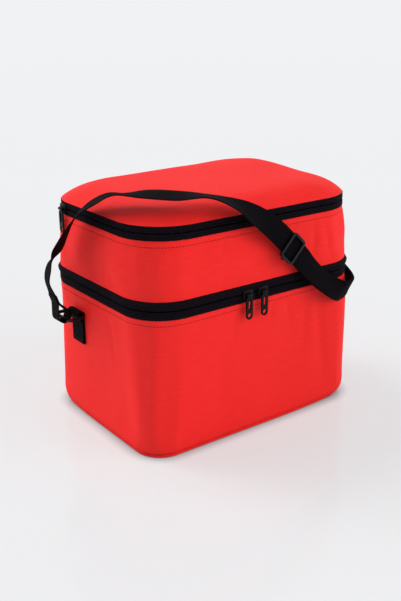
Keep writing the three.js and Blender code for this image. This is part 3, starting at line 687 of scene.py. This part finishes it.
def fabric_relief(heights, bottom, top, seam, seed, creases):
    """Soft folds, creases, puckers at the seams and a dip at the stitching, by height and column."""
    beside_tabs = hump(PLAN[:, 1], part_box("left_tab")[0].y + WEBBING_WIDTH / 2, WEBBING_WIDTH)
    clear_of_tabs = 1 - beside_tabs * (np.abs(PLAN[:, 0]) > SIDE_WALL_SHARE * HALF_WIDTH)
    corners = np.prod(np.abs(ALL_ROUND[1]), axis=1) * 2
    heights = np.repeat(heights[:, None], len(PLAN), axis=1)
    x, y = (np.repeat(PLAN[None, :, axis], len(heights), axis=0) for axis in (0, 1))

    def field(waves, offset):
        def at(x, y, z):
            return noise.noise(Vector((x * waves[0], y * waves[0], z * waves[1] + offset)))
        return np.vectorize(at)(x, y, heights)

    free = ease((heights - bottom) / FOLDS_FREE_ABOVE) * ease((top - heights) / FOLDS_FREE_BELOW)
    folds = field(FOLD_WAVES, seed) * (WALL_FOLD_SHARE + corners[None]) - FOLD_INWARD_SHARE
    folds = FOLD_DEPTH * (folds + BROAD_FOLD_SHARE * field(BROAD_FOLD_WAVES, seed + BROAD_FOLD_SEED))
    near_base = BASE_PUCKER_SHARE * hump(heights, bottom, BASE_PUCKER_REACH)
    puckers = PUCKER_DEPTH * field(PUCKER_WAVES, seed + PUCKER_SEED)
    puckers = puckers * (hump(heights, seam, PUCKER_REACH) + near_base)
    puckers = puckers * ease((top - heights) / PUCKER_END)
    for row in creases:
        around, height, half_length, half_width, depth, lean = (value * MM for value in row)
        aside = ROUND_LENGTHS[None, :-1] - around - (heights - height) * lean / MM
        folds = folds - depth * hump(aside, 0, half_width) * hump(heights, height, half_length)
    return (folds * free + puckers - SEAM_DIP * hump(heights, seam, SEAM_WIDTH)) * clear_of_tabs[None]


def make_wall(words, bulge, top_out, tuck_share, body, seed, creases):
    """Outer cloth of a case with its topstitch, and the foam sheet that fills the wall behind it."""
    low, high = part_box(f"{words}_shell")
    share = np.linspace(0, 1, WALL_ROWS) ** WALL_ROW_POWER
    heights = low.z + share * (high.z - low.z)
    outs = bulge * (1 - (2 * share - 1) ** 2) + top_out * np.clip(2 * share - 1, 0, 1)
    seam = high.z - TOPSTITCH_BELOW_BAND
    relief = fabric_relief(heights, low.z, high.z, seam, seed, creases)
    relief = relief - tuck_share * tucked(heights, low.z)
    outer = np.stack([outs, heights], axis=1)
    profile = np.concatenate([outer, (outer - (SHELL_THICKNESS, 0))[::-1]])
    wall = ring_band(f"{words}_wall", profile, FABRIC, np.concatenate([relief, relief[::-1]]))
    place(wall, body, "red_fabric", f"{words}_shell")
    level = np.full((1, len(PLAN)), seam)
    seam_relief = fabric_relief(np.array([seam]), low.z, high.z, seam, seed, creases)
    line = round_bag(ALL_ROUND, np.interp(level, heights, outs) + seam_relief, level)[0]
    ways = np.concatenate([ALL_ROUND[1], np.zeros((len(PLAN), 1))], axis=1)
    stitches = sew(f"{words}_wall_topstitch", [(closed(line), closed(ways))], THREAD)
    place(stitches, body, "red_fabric")

    foam_low, foam_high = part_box(f"{words}_foam")
    foam_heights = np.clip(heights, foam_low.z, foam_high.z)
    foam_heights[[0, -1]] = foam_low.z, foam_high.z
    foam_outer = np.stack([np.interp(foam_heights, heights, outs) + FOAM_OUT, foam_heights], axis=1)
    back_out = FOAM_OUT - FOAM_THICKNESS
    back = [(top_out + back_out, foam_high.z), (top_out + back_out, high.z), (back_out, foam_low.z)]
    foam_relief = np.concatenate([relief, np.zeros((len(back), len(PLAN)))])
    foam = ring_band(f"{words}_insulation", np.concatenate([foam_outer, back]), FOAM, foam_relief)
    place(foam, body, "foam", f"{words}_foam")


make_wall("lower", LOWER_BULGE, top_out=0, tuck_share=1, body="lower_case", seed=3.1,
          creases=LOWER_CREASES)
make_wall("upper", UPPER_BULGE, top_out=-TOP_INSET, tuck_share=0, body="upper_case", seed=8.7,
          creases=UPPER_CREASES)


# Zip bands: woven tape with ridges beside the groove
def tape_face(edge, far, out, fullness=None):
    """Outer line of a band from its groove edge to its far side, with ridges along it."""
    heights = np.linspace(edge, far, TAPE_ROWS)
    distance = np.abs(heights - edge)
    outs = np.full(len(heights), out)
    for middle, height, width in RIDGES:
        outs = outs + height * hump(distance, middle, width)
    outs = outs - GROOVE_EDGE_DROP * np.clip(1 - distance / TAPE_EDGE, 0, 1) ** 2
    outs = outs - OUTER_EDGE_DROP * np.clip(1 - (distance[-1] - distance) / TAPE_EDGE, 0, 1) ** 2
    if fullness is not None:
        outs = outs + fullness(heights)
    return np.stack([outs, heights], axis=1)


def rim_band(name, node_name, coil_name, out, body):
    """Band below a groove, with its flange in over the foam and the liner."""
    low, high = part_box(node_name)
    flange_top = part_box(coil_name)[0].z - GAP
    flange_low = flange_top - TAPE_THICKNESS
    inside = out - TAPE_THICKNESS
    room = out + ROOM_OUT
    back = [(inside, low.z), (inside, flange_low), (room, flange_low), (room, flange_top),
            (inside, flange_top), (inside, high.z)]
    face = tape_face(high.z, low.z, out)
    place(ring_band(name, np.concatenate([face, back]), TAPE), body, "black_tape", node_name)


rim_band("lower_zip_band", "lower_zip_tape", "middle_coil_lower", out=0, body="lower_case")
rim_band("upper_zip_band", "upper_rim_tape", "top_coil_lower", out=-TOP_INSET, body="upper_case")


def binding_fullness(heights):
    share = (heights - MIDDLE_EDGE_HIGH) / (BINDING_TOP - MIDDLE_EDGE_HIGH)
    return np.interp(share, BINDING_SHARES, BINDING_FULLNESS)


def make_binding():
    face = tape_face(MIDDLE_EDGE_HIGH, BINDING_TOP, 0, binding_fullness)
    back = [(-TAPE_THICKNESS, BINDING_TOP), (-TAPE_THICKNESS, MIDDLE_EDGE_HIGH)]
    binding = ring_band("middle_binding", np.concatenate([face, back]), TAPE)
    place(binding, "upper_case", "black_tape", "upper_zip_tape")


def make_lid_band():
    face = tape_face(TOP_EDGE_HIGH, LID_TAPE_TOP, -TOP_INSET)
    flange_end = ROOM_OUT - TOP_INSET
    inside = -TOP_INSET - TAPE_THICKNESS
    flange_low = LID_TAPE_TOP - TAPE_THICKNESS
    back = [(flange_end, LID_TAPE_TOP), (flange_end, flange_low), (inside, flange_low),
            (inside, TOP_EDGE_HIGH)]
    band = ring_band("lid_zip_band", np.concatenate([face, back]), TAPE)
    place(band, "lid", "black_tape", "lid_zip_tape")


make_binding()
make_lid_band()


# Zip coils: a row of teeth on a tube, open at the hinge
def make_coil(node_name, open_share, body):
    low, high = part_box(node_name)
    height = high.z - low.z
    columns = plan_columns(COIL_PITCH / COIL_COLUMNS_PER_TOOTH, open_share)
    reach = lengths_along(level_line(columns, 0, MIDDLE_ZIP))
    full = 1 - COIL_TOOTH_SHARE + COIL_TOOTH_SHARE * np.cos(2 * math.pi * reach / COIL_PITCH)
    angles = circle(COIL_SIDES)
    middle_out, middle_z = high.x - HALF_WIDTH - COIL_DEPTH / 2, (low.z + high.z) / 2
    outs = middle_out + COIL_DEPTH / 2 * np.cos(angles)[:, None] * full[None]
    heights = middle_z + height / 2 * np.sin(angles)[:, None] * full[None]
    points = round_bag(columns, outs, heights)
    along, around = np.meshgrid(reach, np.arange(len(angles) + 1) * MM)
    uv = np.stack([along, around], axis=2)
    teeth = grid_piece(f"{node_name}_teeth", points, True, False, uv, COIL, ROUND_ANGLE, close=True)
    place(teeth, body, "coil_nylon", node_name)


COIL_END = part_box("top_hinge_strip")[1].x + HINGE_TO_COIL
MIDDLE_OPEN_SHARE = COIL_END / (HALF_WIDTH - MIDDLE_CORNER_RADIUS)
TOP_OPEN_SHARE = COIL_END / (HALF_WIDTH - TOP_CORNER_RADIUS)
make_coil("middle_coil_lower", MIDDLE_OPEN_SHARE, "lower_case")
make_coil("middle_coil_upper", MIDDLE_OPEN_SHARE, "upper_case")
make_coil("top_coil_lower", TOP_OPEN_SHARE, "upper_case")
make_coil("top_coil_upper", TOP_OPEN_SHARE, "lid")


# Lid
def lid_relief(points):
    def ripple(x, y, waves, seed):
        return noise.noise(Vector((x * waves, y * waves, seed)))

    def at(x, y):
        return ripple(x, y, *RIPPLES) + FINE_RIPPLE_SHARE * ripple(x, y, *FINE_RIPPLES)

    ripples = RIPPLE_DEPTH * np.vectorize(at)(points[..., 0], points[..., 1])
    across = (points[..., 0] - LID_PEAK_SHARES[0] * HALF_WIDTH) / LID_PEAK_REACH
    back = (points[..., 1] - LID_PEAK_SHARES[1] * HALF_DEPTH) / LID_PEAK_REACH
    peak = LID_PEAK * np.exp(-across ** 2 - back ** 2)
    return ripples + LID_TILT * points[..., 0] / HALF_WIDTH + peak


def crowned(name, out, rise, thickness, material):
    """Crowned sheet: its rim lies on a plane and its middle rises above it."""
    shares = np.sin(np.linspace(math.pi / 2, 0, CROWN_ROWS, endpoint=False)) ** CROWN_ROW_POWER
    swell = (1 - shares ** LID_CROWN_POWER)[:, None]

    def surface(edge, height):
        rim = level_line(ALL_ROUND, edge, LID_LOW)
        points = np.repeat(rim[None], len(shares), axis=0)
        points[..., :2] *= shares[:, None, None]
        points[..., 2] += height * swell
        points[..., 2] += lid_relief(points) * swell
        return points

    outer = surface(out, rise)
    inner = surface(out - thickness, rise - thickness)
    points = np.concatenate([inner[::-1], outer])
    uv = points[..., :2]
    uv = np.concatenate([uv, uv[:, :1]], axis=1)
    return grid_piece(name, points, False, True, uv, material, CROWN_ANGLE, close=True)


LID_RISE = LID_HIGH - LID_LOW - LID_SINK
lid_top = crowned("lid_top", -TOP_INSET, LID_RISE, SHELL_THICKNESS, FABRIC)
place(lid_top, "lid", "red_fabric", "lid_cover")
lid_foam = crowned("lid_insulation", FOAM_OUT - TOP_INSET, LID_RISE + FOAM_OUT, FOAM_THICKNESS, FOAM)
place(lid_foam, "lid", "foam", "lid_foam")
lid_lining = crowned("lid_lining", LINER_OUT - TOP_INSET, LID_RISE + LINER_OUT, LINER_THICKNESS, FILM)
place(lid_lining, "lid", "silver_liner", "lid_liner")


# Lining, base and divider of the cases
def lining(name, node_name, top_out, knee, body):
    low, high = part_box(node_name)
    inner = LINER_OUT - LINER_THICKNESS
    profile = [(inner, low.z + LINER_THICKNESS), (inner + top_out, knee), (inner + top_out, high.z),
               (LINER_OUT + top_out, high.z), (LINER_OUT + top_out, knee), (LINER_OUT, low.z)]
    place(tub(name, profile, FILM), body, "silver_liner", node_name)


def flat_panel(name, node_name, out, material, slot, body, relief=0):
    low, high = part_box(node_name)
    edge = (high.z - low.z) * PANEL_EDGE_SHARE
    profile = [(out - edge, low.z), (out, low.z + edge), (out, high.z - edge), (out - edge, high.z)]
    return place(tub(name, profile, material, relief), body, slot, node_name)


lining("lower_lining", "lower_liner", top_out=0, knee=LOWER_TAPE_BOTTOM, body="lower_case")
lining("upper_lining", "upper_liner", top_out=-TOP_INSET, knee=UPPER_TAPE_BOTTOM, body="upper_case")
BASE_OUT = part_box("base_cover")[1].x - HALF_WIDTH - BASE_INSET
BASE_SHAPE = -tucked(np.zeros(1), 0)
flat_panel("base_panel", "base_cover", BASE_OUT, FABRIC, "red_fabric", "lower_case", BASE_SHAPE)
flat_panel("base_stiffener", "base_board", BASE_OUT, BOARD, "board", "lower_case", BASE_SHAPE)
base_padding = flat_panel("base_padding", "base_foam", BASE_OUT, FOAM, "foam", "lower_case", BASE_SHAPE)
flat_panel("divider_panel", "divider_cover", FOAM_OUT, FILM, "silver_liner", "upper_case")
flat_panel("divider_padding", "divider_foam", FOAM_OUT, FOAM, "foam", "upper_case")


def make_piping():
    low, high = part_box("base_piping")
    radius = (high.z - low.z) / 2
    angles = circle(PIPING_SIDES)
    profile = np.stack([radius * np.cos(angles) - PIPING_INSET,
                        low.z + radius - PIPING_DROP + radius * np.sin(angles)], axis=1)
    bead = ring_band("base_piping_bead", profile, FABRIC, PIPING_TUCK_SHARE * BASE_SHAPE)
    place(bead, "lower_case", "red_fabric", "base_piping")


make_piping()


# Webbing
def ribbon(name, middles, widths, normals, material):
    """Flat webbing through frames, with rounded edges and closed ends."""
    half, flat = WEBBING_WIDTH / 2, WEBBING_THICKNESS / 2
    line = np.linspace(flat - half, half - flat, RIBBON_COLUMNS)
    bend = np.linspace(math.pi / 2, -math.pi / 2, RIBBON_EDGE_STEPS)[1:-1]
    edge = np.stack([half - flat + flat * np.cos(bend), flat * np.sin(bend)], axis=1)
    face = np.stack([line, np.full(len(line), flat)], axis=1)
    section = np.concatenate([face, edge, -face, -edge])
    points = (middles[None] + section[:, 0, None, None] * widths[None]
              + section[:, 1, None, None] * normals[None])
    across, along = np.meshgrid(lengths_along(middles), lengths_along(closed(section)))
    uv = np.stack([across, along], axis=2)
    return grid_piece(name, points, True, False, uv, material, ROUND_ANGLE, close=True)


def unit(vectors):
    return vectors / np.linalg.norm(vectors, axis=-1, keepdims=True)


def smooth_curve(rows, steps):
    """Points of a smooth curve through rows, steps to each, by a centripetal spline."""
    rows = np.array(rows, float)
    rows = np.vstack([2 * rows[0] - rows[1], rows, 2 * rows[-1] - rows[-2]])
    result = []
    for before, first, last, after in zip(rows, rows[1:], rows[2:], rows[3:]):
        steps_over = np.diff([before, first, last, after], axis=0)
        knots = np.cumsum([0, *np.sqrt(np.linalg.norm(steps_over[:, :AXES], axis=1))])
        at = np.linspace(knots[1], knots[2], steps, endpoint=False)[:, None]

        def mix(low, high, low_knot, high_knot):
            return ((high_knot - at) * low + (at - low_knot) * high) / (high_knot - low_knot)

        starts, ends = (before, first, last), (first, last, after)
        level = [mix(*pair) for pair in zip(starts, ends, knots, knots[1:])]
        level = [mix(*pair) for pair in zip(level, level[1:], knots, knots[2:])]
        result.append(mix(*level, *knots[1:-1]))
    return np.vstack(result + [rows[-2:-1]])


RING_LOW, RING_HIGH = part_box("left_ring")
RING_HEIGHT = (RING_LOW.z + RING_HIGH.z) / 2
RING_BACK = (RING_LOW.y + RING_HIGH.y) / 2


def strap_frames():
    """Middles, widths and normals along the strap."""
    rise = LID_HIGH - RING_HEIGHT
    rows = [(x * HALF_WIDTH, y * HALF_DEPTH, RING_HEIGHT + z * rise, *way)
            for x, y, z, *way in STRAP_ROUTE_SHARES]
    curve = smooth_curve(rows, STRAP_STEPS)
    middles = curve[:, :AXES]
    tangents = np.gradient(middles, axis=0)
    normals = unit(np.cross(tangents, curve[:, AXES:]))
    return middles, unit(np.cross(normals, tangents)), normals


strap_middles, strap_widths, strap_normals = strap_frames()


def make_strap():
    strap = ribbon("carrying_strap", strap_middles, strap_widths, strap_normals, WEBBING)
    place(strap, "lower_case", "black_webbing", "shoulder_strap")
    start = ADJUSTER_ROUTE_STEP * STRAP_STEPS
    middles = strap_middles[start:] - (WEBBING_THICKNESS + GAP) * strap_normals[start:]
    second = ribbon("strap_second_layer", middles, strap_widths[start:], strap_normals[start:], WEBBING)
    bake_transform(second)
    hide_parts("strap_return")


make_strap()


# Webbing sewn into a loop round a bar of a ring
def loop_line(centre, radius, apex, end):
    """Middle line of webbing in (out, height): from the end to the apex, round a circle and back."""
    centre, apex, end = (np.array(p, float) for p in (centre, apex, end))
    run = unit(apex - end)
    side = np.array((run[1], -run[0])) * WEBBING_THICKNESS / 2
    leg = apex - centre
    facing = math.atan2(leg[1], leg[0])
    spread = math.acos(radius / np.linalg.norm(leg))
    share = np.linspace(0, 1, LOOP_LEG_STEPS)[:, None]
    first = end + side + share * (apex - end)
    last = (end - side + share * (apex - end))[::-1]
    angles = np.linspace(facing + spread - 2 * math.pi, facing - spread, LOOP_ARC_STEPS)
    arc = centre + radius * np.stack([np.cos(angles), np.sin(angles)], axis=1)

    def bridge(start, stop):
        return start + np.linspace(0, 1, LOOP_BRIDGE_STEPS)[1:-1, None] * (stop - start)

    line = np.concatenate([first, bridge(first[-1], arc[0]), arc, bridge(arc[-1], last[0]), last])
    for _ in range(LOOP_SMOOTHINGS):
        line[1:-1] = (line[1:-1] + (line[:-2] + line[2:]) / 2) / 2
    return line


def webbing_loop(name, side, line, way):
    """Webbing along a line of (out, height) at a side wall, whose width runs one way."""
    x = side * (HALF_WIDTH + line[:, 0])
    middles = np.stack([x, np.full(len(line), RING_BACK), line[:, 1]], axis=1)
    normals = unit(np.cross(np.gradient(middles, axis=0), [0, 1, 0]))
    return ribbon(name, middles, np.tile(way, (len(line), 1)), normals, WEBBING)


def box_stitches(name, middle, along, across, way):
    """A rectangle of stitches with a cross in it, on the face where the way points."""
    corners = [middle + a * along + b * across for a, b in ((-1, -1), (1, -1), (1, 1), (-1, 1))]
    runs = [(0, 1), (1, 2), (2, 3), (3, 0), (0, 2), (1, 3)]
    lines = [(np.array([corners[a], corners[b]]), np.array([way, way])) for a, b in runs]
    return sew(name, lines, BLACK_THREAD)


def make_ring_webbing(side, word):
    outs = sorted(abs(corner.x) - HALF_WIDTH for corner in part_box(f"{word}_ring"))
    inner_bar = np.array((outs[0] + RING_WIRE, RING_HEIGHT))
    outer_bar = np.array((outs[1] - RING_WIRE, RING_HEIGHT))
    tab_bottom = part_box(f"{word}_tab")[0].z
    sewn_top = RING_HEIGHT - TAB_LOOP_HEIGHT
    middle = GAP + WEBBING_THICKNESS + LOWER_BULGE
    tab_line = loop_line(inner_bar + (0, TAB_LOOP_LIFT), TAB_LOOP_RADIUS,
                         (middle, sewn_top), (middle, tab_bottom))
    tab = webbing_loop(f"{word}_ring_tab", side, tab_line, (0, 1, 0))
    place(tab, "lower_case", "black_webbing", f"{word}_tab")
    out = HALF_WIDTH + middle + WEBBING_THICKNESS
    face = np.array((side * out, RING_BACK, (sewn_top + tab_bottom) / 2))
    along = np.array((0, 0, (sewn_top - tab_bottom) / 2 - STITCH_MARGIN))
    across = np.array((0, WEBBING_WIDTH / 2 - STITCH_MARGIN, 0))
    patch = box_stitches(f"{word}_tab_stitches", face, along, across, np.array((side, 0, 0)))
    place(patch, "lower_case", "black_webbing")
    index = 0 if side < 0 else -1
    start = strap_middles[index]
    end_point = np.array((abs(start[0]) - HALF_WIDTH, start[2]))
    way = unit(end_point - outer_bar)
    apex = outer_bar + way * STRAP_LOOP_REACH
    line = loop_line(outer_bar + (0, STRAP_LOOP_LIFT), STRAP_LOOP_RADIUS, apex, end_point - way * GAP)
    strap_end = webbing_loop(f"{word}_strap_loop", side, line, strap_widths[index])
    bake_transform(strap_end)
    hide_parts(f"{word}_strap_end")


def make_ring(word):
    """Rectangular ring of round wire with round corners."""
    low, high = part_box(f"{word}_ring")
    half = (high - low) / 2
    centre = np.array((low + high) / 2)
    anchors = np.array((half.x - RING_WIRE - RING_CORNER, half.y - RING_WIRE - RING_CORNER, 0))
    round_wire = circle(RING_SIDES)[:, None]
    columns = []
    for turn, signs in enumerate(((1, 1, 0), (-1, 1, 0), (-1, -1, 0), (1, -1, 0))):
        for angle in math.pi / 2 * (turn + np.linspace(0, 1, RING_CORNER_STEPS)):
            radial = np.array((math.cos(angle), math.sin(angle), 0))
            middle = centre + anchors * signs + RING_CORNER * radial
            wire = radial * np.cos(round_wire) + np.array((0, 0, 1)) * np.sin(round_wire)
            columns.append(middle + RING_WIRE * wire)
    points = np.array(columns).transpose(1, 0, 2)
    uv = np.zeros((points.shape[0] + 1, points.shape[1] + 1, 2))
    ring = grid_piece(f"{word}_ring_wire", points, True, True, uv, PLASTIC)
    place(ring, f"{word}_ring", "black_plastic", f"{word}_ring")


for side, word in ((-1, "left"), (1, "right")):
    make_ring_webbing(side, word)
    make_ring(word)


# Fabric hinges at the back
def hinge_tape(name, node_name, pivot_height, low_out, high_out):
    low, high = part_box(node_name)
    heights = np.linspace(low.z, high.z, HINGE_ROWS)
    outs = low_out + (high_out - low_out) * ease((heights - pivot_height) / HINGE_STEP_HEIGHT)
    inner = np.stack([outs, heights], axis=1)[::-1]
    profile = np.concatenate([np.stack([outs + TAPE_THICKNESS, heights], axis=1), inner])
    xs = np.linspace(low.x, high.x, HINGE_COLUMNS)
    points = np.zeros((len(profile), len(xs), AXES))
    points[..., 0] = xs[None]
    points[..., 1] = (HALF_DEPTH + profile[:, 0])[:, None]
    points[..., 2] = profile[:, 1][:, None]
    across, along = np.meshgrid(xs, lengths_along(closed(profile)))
    made = grid_piece(name, points, True, False, np.stack([across, along], axis=2), TAPE, close=True)
    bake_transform(made)
    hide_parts(node_name)


hinge_tape("middle_hinge_tape", "middle_hinge_strip",
           MIDDLE_ZIP, low_out=GAP, high_out=GAP + HINGE_STEP)
hinge_tape("top_hinge_tape", "top_hinge_strip",
           TOP_ZIP, low_out=GAP - TOP_INSET, high_out=GAP - TOP_INSET)


# CAD pieces that stay: their edges are softened and they get their finish
def dress(node_name, material, bevel):
    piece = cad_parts[node_name]
    piece.data.materials.clear()
    piece.data.materials.append(material)
    weld = piece.modifiers.new("weld", "WELD")
    weld.merge_threshold = WELD_REACH
    soft = piece.modifiers.new("soft_edges", "BEVEL")
    soft.width = bevel
    soft.segments = BEVEL_STEPS
    soft.limit_method = "ANGLE"
    soft.angle_limit = math.radians(BEVEL_ANGLE)
    soft.harden_normals = True
    piece.data.polygons.foreach_set("use_smooth", [True] * len(piece.data.polygons))
    piece.data.set_sharp_from_angle(angle=math.radians(BEVEL_ANGLE))


for node_name in ("middle_stop_left", "middle_stop_right", "top_stop_left", "top_stop_right",
                  "middle_slider_left", "middle_slider_right", "top_slider",
                  "middle_pull_left", "middle_pull_right", "top_pull"):
    dress(node_name, METAL, bevel=0.25 * MM)
dress("tri_glide", PLASTIC, bevel=0.5 * MM)


# Floor, light and camera
def make_floor():
    """Pale glossy floor, lifted for the camera towards the backdrop, with painted shade near the bag:
    ambient occlusion darkens its colour and its lift there.
    """
    corners = [(x * FLOOR_REACH, y * FLOOR_REACH, 0) for x, y in ((-1, -1), (1, -1), (1, 1), (-1, 1))]
    mesh = new_mesh("floor", corners, [range(len(corners))])
    pale = linear(*FLOOR_COLOUR)
    material = make_material("pale_glossy_floor", pale, roughness=0.12)
    glow = add_node(material, "ShaderNodeEmission", Color=linear(*GLOW_COLOUR), Strength=1)
    lift = add_node(material, "ShaderNodeMixShader")
    rays = add_node(material, "ShaderNodeLightPath")
    # Painted contact shade: ambient occlusion darkens the floor's colour and cuts its glow near the bag
    painted_contact_shade = add_node(material, "ShaderNodeAmbientOcclusion", Color=pale,
                       Distance=PAINTED_SHADE_REACH, samples=PAINTED_SHADE_SAMPLES)
    raised = calculate(material, "MULTIPLY", rays.outputs["Is Camera Ray"], FLOOR_LIFT)
    raised = calculate(material, "MULTIPLY", raised, painted_contact_shade.outputs["AO"])
    join(material, raised, lift.inputs["Fac"])
    join(material, painted_contact_shade.outputs["Color"], shader_of(material).inputs["Base Color"])
    join(material, shader_of(material).outputs["BSDF"], lift.inputs[1])
    join(material, glow.outputs["Emission"], lift.inputs[2])
    output = material.node_tree.nodes["Material Output"]
    join(material, lift.outputs["Shader"], output.inputs["Surface"])
    add_object("floor", mesh, material)


def sun(name, towards, angle, radiance):
    """A wide soft lamp that no reflection shows; radiance is what it adds to white that faces it."""
    lamp = bpy.data.lights.new(name, "SUN")
    lamp.energy = radiance * math.pi
    lamp.angle = math.radians(angle)
    made = link(name, lamp)
    made.visible_glossy = False
    made.rotation_euler = Vector(towards).to_track_quat("Z", "Y").to_euler()


def make_world():
    """Pale to the camera and in reflections, and a soft fill for the rest."""
    world = bpy.data.worlds.new("studio")
    world.use_nodes = True
    background = world.node_tree.nodes["Background"]
    background.inputs["Color"].default_value = linear(*BACKDROP_COLOUR)
    rays = add_node(world, "ShaderNodeLightPath").outputs
    seen = calculate(world, "MAXIMUM", rays["Is Camera Ray"], rays["Is Glossy Ray"])
    seen = calculate(world, "MAXIMUM", seen, rays["Is Transmission Ray"])
    more = calculate(world, "MULTIPLY", seen, 1 - WORLD_FILL)
    join(world, calculate(world, "ADD", more, WORLD_FILL), background.inputs["Strength"])
    bpy.context.scene.world = world


def make_camera():
    camera = link("camera", bpy.data.cameras.new("camera"))
    camera.data.sensor_width = SENSOR
    camera.data.lens = CAMERA_FOCAL_PIXELS * SENSOR / PHOTO_HEIGHT_PIXELS
    turn = Matrix.Rotation(math.radians(CAMERA_TURN), MATRIX_SIZE, "Z")
    tilt = Matrix.Rotation(math.pi / 2 - math.radians(CAMERA_DOWN), MATRIX_SIZE, "X")
    roll = Matrix.Rotation(math.radians(CAMERA_ROLL), MATRIX_SIZE, "Z")
    camera.matrix_world = Matrix.Translation(CAMERA_PLACE) @ turn @ tilt @ roll
    camera.data.clip_start = NEAR_CLIP
    camera.data.clip_end = FAR_CLIP
    bpy.context.scene.camera = camera


make_floor()
make_world()
for lamp in LAMPS:
    sun(*lamp)
make_camera()
bpy.context.scene.view_settings.view_transform = "Standard"
